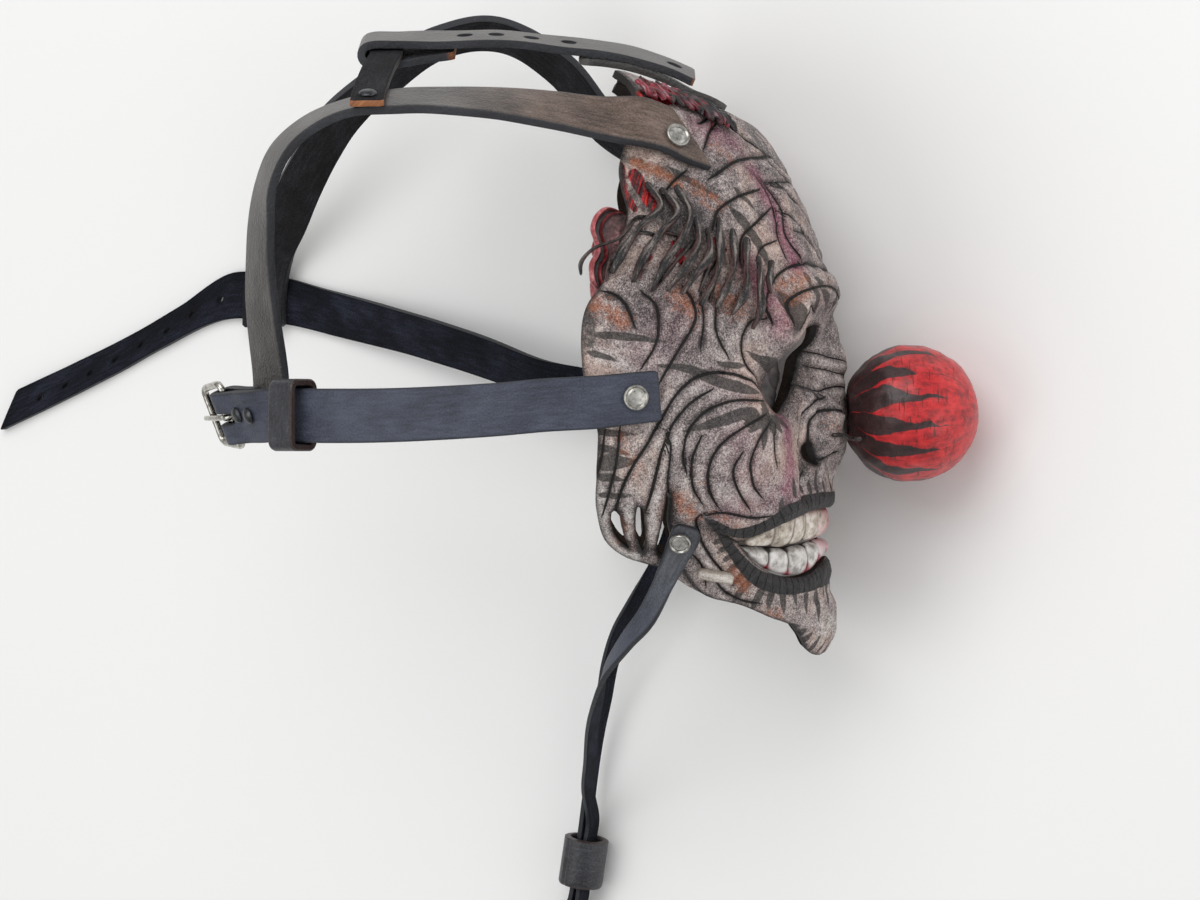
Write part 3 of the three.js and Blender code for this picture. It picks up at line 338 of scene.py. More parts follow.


# Rolled leather under a red and pink glaze: a wet shine, with grey leather left bare in the hollow
# and a near black painted shade in the hollow beside the roll
def glazedRed(add):
    place = add("TexCoord")
    rolled, hollow = (add("Attribute", attribute_name=name) for name in ("rolled", "hollow"))
    daub = add("TexNoise", {"Vector": place, "Scale": 170.0, "Detail": 4.0, "Roughness": 0.6})
    dab = add("TexNoise", {"Vector": place, "Scale": 900.0, "Detail": 3.0, "Roughness": 0.7})
    tone = add("Math", [dab, 0.4, add("Math", [daub, 0.6], operation="MULTIPLY")])
    skin = add("ValToRGB", [tone], stops=[
        (0.36, "#3a0c12"), (0.45, "#8a262d"), (0.54, "#a54a4e"), (0.68, "#d08a8a")])
    grey = add("ValToRGB", [tone], stops=[(0.38, "#161213"), (0.50, "#4d4443"), (0.64, "#948a86")])
    share = add("Math", [daub, 1.6, add("Math", [rolled, 0.8], operation="SUBTRACT")], use_clamp=True)
    base = add("Mix", {0: share, 6: grey, 7: skin})
    # painted shade, near black in the hollow beside the roll
    base = add("Mix", {0: hollow, 6: base, 7: "#140809"})
    return {"Base Color": base, "Roughness": 0.3, "Coat Weight": 0.3, "Coat Roughness": 0.25,
            "Normal": add("Bump", {"Height": tone, "Distance": 0.0004})}


# Smooth leather lid under a thin grey wash, rusty at its lower end, and darker towards the slit with painted
# shade
def washedLid(add):
    place = add("TexCoord")
    inner, low = (add("Attribute", attribute_name=name) for name in ("inner", "low"))
    daub = add("TexNoise", {"Vector": place, "Scale": 150.0, "Detail": 5.0, "Roughness": 0.6})
    base = add("ValToRGB", [daub], stops=[(0.34, "#3a3436"), (0.52, "#746a6b"), (0.68, "#968b88")])
    base = add("Mix", {0: low, 6: base, 7: "#6d4432"})
    # painted shade, near black towards the slit
    base = add("Mix", {0: inner, 6: base, 7: "#0e0d0d"})
    return {"Base Color": base, "Roughness": 0.5,
            "Normal": add("Bump", {"Height": daub, "Distance": 0.0003})}


# Leather ball brushed with red acrylic and sealed: semi-gloss, charcoal tongues licking out from the nose
# side and thin crackle lines across them
ballLook = {
    "tongues": 15, "reach": 0.55,
    "red": [(0.32, "#4a090d"), (0.42, "#94151a"), (0.52, "#c41f24"), (0.64, "#da3232"), (0.76, "#dd6f6a")],
    "soot": [(0.36, "#0e0e0f"), (0.56, "#222122"), (0.72, "#454041")]}


def ballLacquer(add, look):
    wrap = add("UVMap", uv_map="flat")
    place = add("TexCoord")
    far = add("Attribute", attribute_name="far")
    around = add("SeparateXYZ", [wrap], 0)
    cloud = add("TexNoise", {"Vector": place, "Scale": 75.0, "Detail": 2.0, "Roughness": 0.5})
    daub = add("TexNoise", {"Vector": place, "Scale": 210.0, "Detail": 5.0, "Roughness": 0.7})
    pull = add("Mapping", {0: wrap, 3: (80.0, 9.0, 1.0)})
    streak = add("TexNoise", {"Vector": pull, "Scale": 1.0, "Detail": 4.0, "Roughness": 0.65})
    rings = add("Mapping", {0: wrap, 3: (16.0, 62.0, 1.0)})
    crackle = add("TexNoise", {"Vector": rings, "Scale": 1.0, "Detail": 3.0, "Roughness": 0.55})
    tone = add("Math", [streak, 0.35, add("Math", [daub, 0.65], operation="MULTIPLY")])
    red = add("ValToRGB", [tone], stops=look["red"])
    lines = add("MapRange", [crackle, 0.62, 0.66, 0.0, 0.6])
    red = add("Mix", {0: lines, 6: red, 7: "#3a1114"})
    swing = add("Math", [around, look["tongues"], add("Math", [cloud, 0.6], operation="MULTIPLY")])
    gap = add("Math", [swing, 0.5], operation="PINGPONG")
    span = add("Math", [cloud, look["reach"], 0.14])
    grow = add("Math", [add("Math", [far, 0.29], operation="SUBTRACT"), span], operation="DIVIDE")
    dark = add("Math", [1.0, grow], operation="SUBTRACT", use_clamp=True)
    dark = add("Math", [add("Math", [dark, 1.8], operation="POWER"), 0.5], operation="MULTIPLY")
    dark = add("Math", [dark, gap], operation="SUBTRACT")
    dark = add("Math", [add("Math", [streak, 0.5], operation="SUBTRACT"), 0.3, dark])
    dark = add("MapRange", [dark, -0.01, 0.03, 0.0, 0.95])
    base = add("Mix", {0: dark, 6: red, 7: add("ValToRGB", [tone], stops=look["soot"])})
    bump = add("Bump", {"Height": tone, "Distance": 0.0005})
    bump = add("Bump", {"Height": lines, "Distance": 0.0003, "Normal": bump}, invert=True)
    return {"Base Color": base, "Roughness": 0.4, "Coat Weight": 0.2, "Coat Roughness": 0.3, "Normal": bump}


# Shreds of leather at the hairline, dipped in paint: wet pink, crimson and white where the tear is deep,
# sooty in front
def tornLeather(add):
    flat = add("UVMap", uv_map="flat")
    fresh, edge = (add("Attribute", attribute_name=name) for name in ("fresh", "edge"))
    pull = add("Mapping", {0: flat, 3: (160.0, 620.0, 1.0)})
    streak = add("TexNoise", {"Vector": pull, "Scale": 1.0, "Detail": 4.0, "Roughness": 0.65})
    wet = add("ValToRGB", [streak], stops=[
        (0.34, "#230a10"), (0.44, "#8c1522"), (0.54, "#b8283a"), (0.62, "#c77c8c"), (0.72, "#d9d2d6")])
    dry = add("ValToRGB", [streak], stops=[(0.38, "#0b0a0b"), (0.54, "#2d2a2c"), (0.68, "#6a5560")])
    base = add("Mix", {0: fresh, 6: dry, 7: wet})
    rub = add("MapRange", [edge, 0.0, 0.5, 0.5, 0.0], **evenly)
    base = add("Mix", {0: rub, 6: base, 7: "#120c0e"})
    return {"Base Color": base, "Roughness": 0.42,
            "Normal": add("Bump", {"Height": streak, "Distance": 0.0006})}


# Nickel-plated steel: wire polished bright, caps tumbled to satin, fold caps blackened; hairline scuffs
metals = {"polishedNickel": {"stops": [(0.35, "#8f8d86"), (0.6, "#cfccc4")], "rough": 0.2},
          "tumbledNickelCap": {"stops": [(0.35, "#8b8984"), (0.6, "#c4c2bc")], "rough": 0.3},
          "blackenedSteelCap": {"stops": [(0.35, "#2d2e31"), (0.6, "#595a5c")], "rough": 0.34}}


def platedMetal(add, look):
    place = add("TexCoord")
    scuff = add("TexNoise", {"Vector": place, "Scale": 700.0, "Detail": 4.0, "Roughness": 0.6})
    return {"Metallic": 1.0, "Base Color": add("ValToRGB", [scuff], stops=look["stops"]),
            "Roughness": add("Math", [scuff, 0.2, look["rough"] - 0.1]),
            "Normal": add("Bump", {"Height": scuff, "Distance": 0.00003})}


made = {name: newMaterial(name, strapLeather, look) for name, look in leathers.items()}
made.update({name: newMaterial(name, platedMetal, look) for name, look in metals.items()})
for key, name, recipe, *look in (
        ("face", "spongedFaceLeather", facePaint, faceLook), ("teeth", "glossIvoryAcrylic", toothPaint),
        ("glazedRed", "glazedRedLeather", glazedRed), ("lid", "washedGreyLid", washedLid),
        ("ball", "redBallLacquer", ballLacquer, ballLook), ("torn", "paintedTornLeather", tornLeather)):
    made[key] = newMaterial(name, recipe, *look)
print("materials")

# The face as a chart: along = millimetres round from the centre line, up = height
face = {
    "axisBack": -12, "arc": 86, "thick": 3.4, "topCentre": 143.5,
    "sections": [    # height, how far forward, half width
        [147, 10, 30], [143, 21, 42], [138, 34, 48], [132, 49, 53], [126, 63.5, 57.5], [120, 72, 61.5],
        [110, 79, 67], [95, 88, 73.5], [80, 94, 77.5], [68, 97, 79.5], [55, 97, 80.5], [30, 97, 81],
        [10, 98, 80], [0, 98, 79], [-10, 99, 76], [-20, 99, 71], [-30, 98, 64], [-38, 98, 59],
        [-45, 98, 55], [-52, 98, 51], [-60, 100, 46], [-70, 100, 38], [-80, 95, 30]],
    "rear": [
        [62, 142], [84, 134], [95, 129], [104, 124], [111, 112], [115, 103], [115, 95], [114, 86],
        [119, 72], [124, 59], [128, 53], [130, 46], [130, 30], [128, 18], [125, 6], [126, -9],
        [126, -22], [123, -33], [117, -39], [106, -43]],
    "jaw": [
        [106, -43], [98, -43], [94, -48], [88, -54], [75, -57.5], [62, -62.5], [50, -66], [43, -70.5],
        [32, -76], [12, -78], [0, -76.8]],
}
# moulded forms: line in the chart, half width, height
moulded = [
    ([[0, 57], [20, 61], [40, 59], [54, 45]], 12, 6), ([[0, 70], [0, 52]], 6, -2),
    ([[52, 50], [58, 38]], 11, 4), ([[26, 36], [44, 28], [56, 22]], 15, -7), ([[0, 43], [0, 38]], 12, 6),
    ([[0, 24], [0, 4]], 19, 8), ([[17, 13], [19, 5]], 10, 7), ([[36, 12], [42, -4], [46, -16]], 8, -3),
    ([[70, 4], [68, -8], [62, -16]], 28, 7),
    ([[0, -17.5], [22, -17.5], [41, -19.5], [57, -23], [71, -28.5], [84, -27.5]], 8, 2.2),
    ([[0, -45.5], [20, -47], [40, -51], [58, -50.5], [71, -44], [82, -32]], 8, 1.8),
    ([[0, -57], [24, -57]], 9, 1.5), ([[0, -68], [8, -69]], 16, 1.3),
    ([[94, -20], [92, -34], [84, -46]], 7, 2.5), ([[0, 135], [0, 108]], 9, 1.6),
    ([[38, 102], [42, 88], [40, 74]], 8, 2), ([[118, 0], [122, -12], [123.5, -26]], 6, 2),
    ([[110, 2], [114, -12], [115, -28]], 6, 2.4), ([[101, 2], [106, -14], [107.5, -32]], 6, 2.4),
    ([[84, 96], [80, 84]], 20, -2.5),
]
openings = {
    "eye": [
        [19, 46], [28, 45], [40, 40], [52, 30], [61, 17], [56, 14], [47, 18], [36, 26], [26, 34],
        [18, 41]],
    "nostril": [[29.5, -1], [33, 3.5], [37, 1], [36.8, -3.5], [31, -5.6], [25, -4.6]],
    "jawSlit1": [[120.6, -22.5], [120.2, -30.5], [115, -36.3], [117.3, -30.5], [118.6, -24]],
    "jawSlit2": [[112.6, -21], [112.8, -31], [110.4, -37.5], [110.2, -31], [111, -22]],
    "jawSlit3": [[102.4, -15.5], [104.2, -27], [105.4, -38], [100.5, -38.6], [101.4, -27], [101.4, -17]],
}
upperLipInside = [
    [0, -22], [14, -22], [28, -22.4], [42, -23.8], [52, -25.6], [60, -28], [69, -31.8], [76, -34]]
lowerLipInside = [
    [0, -40], [12, -40.5], [24, -43], [36, -46.5], [48, -47.5], [58, -46], [68, -42], [76, -35]]
biteLine = [[0, -32.5], [20, -33.5], [40, -35.5], [56, -37.5], [74, -36]]


def lookUp(rows, column, keys):
    # one column of a table, smooth between its rows
    rows = np.array(sorted(rows), float)
    count = len(rows)
    keys = np.clip(keys, rows[0, 0], rows[-1, 0])
    i = np.clip(np.searchsorted(rows[:, 0], keys, side="right") - 1, 0, count - 2)
    low, high = np.maximum(np.arange(count) - 1, 0), np.minimum(np.arange(count) + 1, count - 1)
    slope = (rows[high, column] - rows[low, column]) / (rows[high, 0] - rows[low, 0])
    step = rows[i + 1, 0] - rows[i, 0]
    t = (keys - rows[i, 0]) / step
    rise = t * t * (3 - 2 * t)
    bow = step * t * (1 - t) * ((1 - t) * slope[i] - t * slope[i + 1])
    return rows[i, column] * (1 - rise) + rows[i + 1, column] * rise + bow


def curve(points, parts, isRing=False):
    # smooth curve through points, with the same number of parts between each two
    points = np.asarray(points, float)
    if isRing:
        ring = np.vstack([points[-1:], points, points[:2]])
    else:
        ring = np.vstack([2 * points[:1] - points[1:2], points, 2 * points[-1:] - points[-2:-1]])
    t = np.linspace(0, 1, parts, endpoint=False)[:, None]
    found = []
    for i in range(1, len(ring) - 2):
        before, here, onward, after = ring[i - 1:i + 3]
        pairs = (before, here), (here, onward), (onward, after)
        a, b, c = (max(np.linalg.norm(end - start), 1e-8) ** 0.5 for start, end in pairs)
        leave = ((here - before) / a - (onward - before) / (a + b) + (onward - here) / b) * b
        arrive = ((onward - here) / b - (after - here) / (b + c) + (after - onward) / c) * b
        found.append(here + leave * t + (3 * (onward - here) - 2 * leave - arrive) * t ** 2
                     + (2 * (here - onward) + leave + arrive) * t ** 3)
    if not isRing:
        found.append(points[-1:])
    return np.vstack(found)


def unit(way):
    return way / np.linalg.norm(way, axis=-1, keepdims=True)


def readOff(rows, places, t):
    # rows standing at places, read off at t
    return np.stack([np.interp(t, places, rows[:, k]) for k in range(rows.shape[1])], axis=-1)


def towards(t, quick):
    # 0 at both ends of a piece, rising quickly to 1
    return np.clip(np.minimum(t, 1 - t) * quick, 0, 1) ** 0.5


def closed(outline):
    return np.vstack([outline, outline[:1]])


def lengthsOf(line):
    return np.concatenate([[0], np.cumsum(np.linalg.norm(np.diff(line, axis=0), axis=1))])


def walk(line, t):
    # points at shares t of the length of a line
    line = np.asarray(line, float)
    lengths = lengthsOf(line)
    return readOff(line, lengths, t * lengths[-1])


def nearest(line, along, up):
    # distance to a line in the chart, the side of it, and the distance run along it
    best = np.full(np.shape(along), 1e9)
    side, run = np.zeros_like(best), np.zeros_like(best)
    lengths = lengthsOf(np.asarray(line, float))
    for i in range(len(line) - 1):
        (ax, ay), (bx, by) = line[i], line[i + 1]
        dx, dy = bx - ax, by - ay
        t = np.clip(((along - ax) * dx + (up - ay) * dy) / (dx * dx + dy * dy), 0, 1)
        ox, oy = along - ax - t * dx, up - ay - t * dy
        distance = np.hypot(ox, oy)
        closer = distance < best
        best = np.where(closer, distance, best)
        side = np.where(closer, np.sign(dx * oy - dy * ox), side)
        run = np.where(closer, lengths[i] + t * (lengths[i + 1] - lengths[i]), run)
    return best, side, run, lengths[-1]


def inside(outline, along, up):
    # whether points lie inside an outline
    count = np.zeros(np.shape(along), int)
    for (ax, ay), (bx, by) in zip(outline, np.roll(outline, -1, axis=0)):
        crosses = (ay > up) != (by > up)
        reach = ax + (up - ay) * (bx - ax) / np.where(by == ay, 1e-9, by - ay)
        count += crosses & (along < reach)
    return count % 2 == 1


def ripple(points, size, seed):
    # smooth unevenness between about -1 and 1, the same each time
    dice = np.random.default_rng(seed)
    total = np.zeros(points.shape[:-1])
    for _ in range(14):
        way = dice.normal(size=points.shape[-1])
        way *= 2 * math.pi / size / np.linalg.norm(way) * dice.uniform(0.6, 1.6)
        total += np.sin(points @ way + dice.uniform(0, 6.28))
    return total / 4


def reliefAt(along, up):
    # how high the moulded forms stand off the plain face
    relief = np.zeros(np.shape(along))
    for line, wide, high in moulded:
        q = nearest(line, np.abs(along), up)[0] / wide
        relief += np.where(q < 1, high * (1 - q * q) ** 2, 0)
    return relief


def facePoint(along, up):
    # a place of the chart on the worn mask
    along, up = np.asarray(along, float), np.asarray(up, float)
    angle = along / face["arc"]
    reach, half = lookUp(face["sections"], 1, up), lookUp(face["sections"], 2, up)
    normal = unit(np.stack([half * np.cos(angle), 0 * angle, reach * np.sin(angle)], axis=-1))
    forward, sideways = face["axisBack"] + reach * np.cos(angle), half * np.sin(angle)
    point = np.stack([forward, up + 0 * angle, sideways], axis=-1)
    return point + normal * reliefAt(along, up)[..., None]


def faceNormal(along, up):
    step = 1.5
    along, up = np.asarray(along, float), np.asarray(up, float)
    roundway = facePoint(along + step, up) - facePoint(along - step, up)
    rise = facePoint(along, up + step) - facePoint(along, up - step)
    return unit(np.cross(rise, roundway))


def offFace(along, up, out):
    # a point held out mm off the moulded face
    return facePoint(along, up) + faceNormal(along, up) * np.asarray(out, float)[..., None]


def sheetPoint(across, down):
    # the outline of half the face, filled from its four sides
    rear, jaw = curve(face["rear"], 6), curve(face["jaw"], 6)
    crown, corner = np.array(face["rear"][0], float), np.array(face["rear"][-1], float)
    rise = face["topCentre"] + (crown[1] - face["topCentre"]) * across ** 2
    top, bottom = np.stack([crown[0] * across, rise], axis=-1), walk(jaw, 1 - across)
    a, d = across[..., None], down[..., None]
    return (1 - d) * top + d * bottom + a * (walk(rear, down) - (1 - d) * crown - d * corner)


def setFloats(mesh, **columns):
    for name, values in columns.items():
        layer = mesh.attributes.new(name, "FLOAT", "POINT")
        layer.data.foreach_set("value", np.asarray(values, np.float32))


def setColours(mesh, **columns):
    for name, parts in columns.items():
        values = np.stack([*parts, np.ones(len(parts[0]))], axis=-1).astype(np.float32)
        mesh.attributes.new(name, "FLOAT_COLOR", "POINT").data.foreach_set("color", values.ravel())


def coordsOf(mesh):
    flat = np.empty(len(mesh.vertices) * 3, np.float32)
    mesh.vertices.foreach_get("co", flat)
    return flat.reshape(-1, 3).astype(float)


def putDown(mesh, worn):
    mesh.vertices.foreach_set("co", toRow(worn).astype(np.float32).ravel())


def setFlatMap(mesh, across, up):
    corners = np.empty(len(mesh.loops), np.int32)
    mesh.loops.foreach_get("vertex_index", corners)
    layer = mesh.uv_layers.new(name="flat")
    layer.data.foreach_set("uv", np.stack([across, up], axis=-1)[corners].astype(np.float32).ravel())


def flatGrid(columns, rows, size=1):
    bm = bmesh.new()
    bmesh.ops.create_grid(bm, x_segments=columns, y_segments=rows, size=size)
    return bm


def spun(profile, axis, steps):
    bm = bmesh.new()
    verts = [bm.verts.new(point) for point in profile]
    for a, b in zip(verts[:-1], verts[1:]):
        bm.edges.new((a, b))
    bmesh.ops.spin(bm, geom=bm.verts[:] + bm.edges[:], cent=(0, 0, 0), axis=axis, angle=2 * math.pi,
                   steps=steps, use_merge=True, use_duplicate=False)
    bmesh.ops.remove_doubles(bm, verts=bm.verts, dist=1e-4)
    bmesh.ops.recalc_face_normals(bm, faces=bm.faces)
    return bm


def settle(bm, name):
    mesh = bpy.data.meshes.new(name)
    bm.to_mesh(mesh)
    bm.free()
    return mesh


def rework(mesh, extra=None, merge=0):
    # takes in another mesh, merges doubles, and turns the faces outwards
    bm = bmesh.new()
    bm.from_mesh(mesh)
    if extra:
        bm.from_mesh(extra)
        bpy.data.meshes.remove(extra)
    if merge:
        bmesh.ops.remove_doubles(bm, verts=bm.verts, dist=merge)
    bmesh.ops.recalc_face_normals(bm, faces=bm.faces)
    bm.to_mesh(mesh)
    bm.free()
    return mesh


def keep(name, mesh, nodes, finishes, body="mask", smooth=40):
    for finish in finishes:
        mesh.materials.append(made[finish])
    mesh.shade_smooth()
    mesh.set_sharp_from_angle(angle=math.radians(smooth))
    piece = bpy.data.objects.new(name, mesh)
    scene.collection.objects.link(piece)
    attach(piece, body)
    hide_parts(*nodes)


def punch(bm, outline, snap):
    # cuts an opening in a flat grid and brings its rim on to the outline
    middles = np.array([f.calc_center_median()[:2] for f in bm.faces])
    gone = inside(outline, middles[:, 0], middles[:, 1])
    faces = [f for f, out in zip(list(bm.faces), gone) if out]
    if not faces:
        return
    bmesh.ops.delete(bm, geom=faces, context="FACES")
    ring = closed(outline)
    rim = [vert for vert in bm.verts if vert.is_boundary]
    spots = np.array([vert.co[:2] for vert in rim])
    best = np.full(len(rim), 1e9)
    target = spots.copy()
    for a, b in zip(ring[:-1], ring[1:]):
        way = b - a
        t = np.clip(((spots - a) @ way) / max(way @ way, 1e-12), 0, 1)
        spot = a + t[:, None] * way
        distance = np.linalg.norm(spots - spot, axis=1)
        closer = distance < best
        best = np.where(closer, distance, best)
        target[closer] = spot[closer]
    for vert, near, goal in zip(rim, best, target):
        if near < snap:
            vert.co.x, vert.co.y = goal


def loft(name, columns, ring, shape):
    # a grid bent into a closed piece: t runs along it, s round it
    mesh = settle(flatGrid(columns, ring), name)
    t, s = (coordsOf(mesh)[:, :2].T + 1) / 2
    setFlatMap(mesh, t, s)
    worn, marks = shape(t, s)
    setFloats(mesh, **marks)
    putDown(mesh, worn)
    return rework(mesh, merge=3e-6)


# tooled lines: points in the chart, half width of the ink at the middle
tooled = [
    ([[72, 120], [56, 123], [46, 117], [27, 110], [14, 106], [0, 105]], 0.5),
    ([[27, 131], [24, 122], [17, 112], [13, 106]], 0.4),
    ([[23.6, 133], [20.6, 123], [13.6, 113], [9.6, 107]], 0.35), ([[101, 92], [94, 98], [87, 102]], 0.5),
    ([[78, 99], [62, 106], [39, 109], [24, 110]], 0.6),
    ([[39, 109], [29, 105], [16, 101], [0, 99]], 0.5), ([[48, 99], [30, 100], [16, 101]], 0.35),
    ([[76, 110], [68, 117], [59, 121]], 0.5), ([[82, 80], [78, 87], [67, 93], [54, 96]], 0.55),
    ([[74, 68], [71, 77], [63, 83], [52, 89]], 0.55), ([[67, 69], [63, 74], [54, 77]], 0.4),
    ([[53, 102], [50, 96], [50, 87], [52, 77], [50, 70]], 0.4),
    ([[50, 101], [46, 92], [47, 78], [41, 70]], 0.4), ([[45, 98], [29, 95], [14, 85], [0, 72]], 0.5),
    ([[48, 88], [36, 85], [24, 76], [20, 70]], 0.45), ([[43, 81], [30, 80], [22, 75], [12, 67]], 0.4),
    ([[62, 46], [62, 55], [56, 64], [41, 69], [24, 68], [0, 64]], 0.6),
    ([[57, 46], [56, 54], [45, 59], [28, 61], [12, 58], [0, 54]], 0.55),
    ([[55, 44], [50, 50], [41, 53], [31, 51]], 0.4),
    ([[9, -0.5], [23.5, -3.5], [32, -2], [33.5, 4], [31, 11.5], [23.5, 15], [10, 14]], 0.6),
    ([[42, 26], [24, 22], [8, 24], [0, 23]], 0.25), ([[39, 2], [38, 10], [31, 17], [19, 20]], 0.4),
    ([[30, 38], [14, 36], [0, 33]], 0.2), ([[24, 32], [12, 30], [0, 28]], 0.15),
    ([[124, 57], [120, 56], [116, 52], [113, 44]], 0.5),
    ([[111, 57], [106, 52], [105, 45], [106, 38], [111, 29]], 0.5),
    ([[97, 59], [93, 54], [92, 47], [98, 36], [105, 24]], 0.6), ([[90, 57], [89, 46], [90, 36]], 0.4),
    ([[84, 54], [84, 43], [79, 33]], 0.45),
    ([[63, 48], [69, 47], [73, 41], [73, 34], [69, 28], [62, 23]], 0.45),
    ([[64, 22], [75, 27], [85, 28], [92, 26], [99, 20], [104, 12], [109, 3], [115, -7], [119, -18],
      [120, -25]], 0.6),
    ([[86, 22], [94, 17], [100, 10], [104, 2], [107, -9], [110, -22]], 0.55),
    ([[103, 7], [102, 0], [103, -11], [102, -17]], 0.4),
    ([[66, 18], [79, 18], [89, 14], [95, 7], [97, -2], [96, -9]], 0.5),
    ([[68, 13], [79, 7], [86, 0], [89, -9], [88, -16], [85, -21]], 0.5),
    ([[91, 5], [94, -4], [94, -13], [91, -20]], 0.4),
    ([[66, 11], [72, 3], [75, -5], [74, -13], [70, -18]], 0.45),
    ([[78, -1], [81, -8], [79, -15], [74, -22]], 0.45), ([[118, 9], [120, -7], [124, -24]], 0.45),
    ([[123, 7], [124, -2], [127, -14]], 0.35), ([[64, 9], [65, 1], [64, -6]], 0.3),
    ([[90, -23], [93, -25], [92, -30], [88, -38], [82, -45], [77, -50]], 0.6),
    ([[87, -46], [81, -52], [73, -56], [66, -57]], 0.4), ([[95, -37], [90, -43], [88, -50]], 0.35),
    ([[90, -24], [84, -23], [73, -25], [66, -24]], 0.45), ([[87, 64], [83, 70], [82, 77]], 0.35),
    ([[40, -8], [46, -14], [52, -19]], 0.35), ([[76, -34.5], [84, -31]], 0.6),
]
# lips: points from the corner of the mouth, with the half width at each
lipLines = {
    "upper": [
        [87.5, -25.5, 0.6], [80, -30, 1.3], [72.5, -30, 2.4], [66, -27.6, 3], [58.5, -23, 3.2],
        [41, -20, 3.6], [13.5, -19, 3.4], [0, -19, 3.3]],
    "lower": [
        [89.5, -25, 0.5], [84, -30.5, 1.2], [79, -36.5, 1.9], [73, -43, 2.6], [65.5, -48, 3.2],
        [54, -50, 3.8], [41.5, -49.3, 4], [24, -46.8, 4.6], [0, -45, 5]],
}
# charcoal brush strokes: points, half width
brushed = [
    ([[128, 7], [120, 6], [111, 5.5]], 1.0), ([[127, 1], [120.5, 0], [115, -1.5]], 1.0),
    ([[127, -5.5], [120.5, -4.5], [112, -4]], 2.2), ([[127, -9.5], [121, -10], [116, -11.5]], 1.1),
    ([[127, -16], [119.5, -16.5], [111, -16]], 0.8), ([[71, 15.5], [87.5, 9.5], [99, 6]], 1.6),
    ([[67, 20.5], [83, 24.5], [96, 29.5], [110, 30.5]], 1.7), ([[72, 30.5], [81, 31], [87, 32.5]], 0.9),
    ([[50, 29.5], [65.5, 33], [72.5, 36.5]], 1.8), ([[66.5, 13.5], [77, 5.5]], 1.4),
    ([[68.5, 13], [70.5, -1]], 1.2), ([[66.5, 13], [65, 4]], 1.2), ([[65, 13], [61, 5.5]], 1.3),
    ([[63, 13], [54, 7]], 1.3), ([[71, 14], [78, 8]], 1.3), ([[69.5, 16.5], [65, 14]], 2.2),
    ([[56, -18], [56, -9]], 1.0), ([[45, -17], [43.5, -10.5]], 0.8), ([[40.5, -17], [37, -9.5]], 0.9),
    ([[34.5, -17], [29.5, -5]], 1.1), ([[27.5, -16.5], [24, -9.5]], 0.9), ([[17, -16.5], [11, -8]], 1.1),
    ([[7, -16], [4, -8]], 0.9), ([[63, -24], [62.5, -16.5]], 0.9), ([[50, -17.5], [50, -12]], 0.8),
    ([[59, -51], [64, -61]], 1.2), ([[54, -52], [55, -62]], 1.3), ([[48.5, -52], [46, -59]], 1.0),
    ([[39, -52], [40.5, -62.5]], 1.2), ([[31, -50], [30, -66.5]], 1.4), ([[14, -48], [22, -59.5]], 1.2),
    ([[63, -50], [72, -61]], 1.2), ([[68.5, -46.5], [80, -58.5]], 1.2), ([[71.5, -44], [79, -51]], 1.0),
    ([[75, -41], [82.5, -46.5]], 0.9), ([[77.5, -38], [84, -42]], 0.8), ([[80, -35], [86, -38.5]], 0.8),
    ([[82.5, -32], [88, -35]], 0.8), ([[23, -50], [24, -57]], 0.9), ([[6, -48], [5, -58]], 1.1),
    ([[53, -66], [44, -66]], 0.9), ([[50, -71], [39, -66.5]], 1.3), ([[44, -74], [34.5, -68]], 1.3),
    ([[33, -77], [26, -69]], 1.5), ([[12, -79], [11.5, -69.5]], 1.5), ([[22, -78], [18, -71]], 1.2),
    ([[97, 103], [81.5, 95], [73.5, 90.5]], 1.1), ([[73.5, 90], [67, 81], [62, 70], [56, 58.5]], 1.6),
    ([[68.5, 96.5], [61, 87.5]], 0.9), ([[129, 41.5], [114.5, 40.5], [98.5, 38]], 1.1),
    ([[129, 35.5], [117, 31.5]], 0.9), ([[123, 55.5], [117, 54]], 1.2), ([[43, 66], [43, 60]], 0.9),
    ([[42.5, 61], [37, 56], [31, 51]], 1.2), ([[39.5, 63.5], [32.5, 61.5]], 1.0),
    ([[36.5, 59.5], [26, 56], [18, 52.5]], 1.2), ([[57, 58], [54, 51], [57.5, 42]], 2.4),
    ([[16, 62], [12, 50]], 1.2), ([[6, 62], [4, 50]], 1.1), ([[116, 14], [107, 12]], 0.9),
    ([[36, 34], [30, 27]], 1.0), ([[30, 22], [22, 18]], 0.8),
]
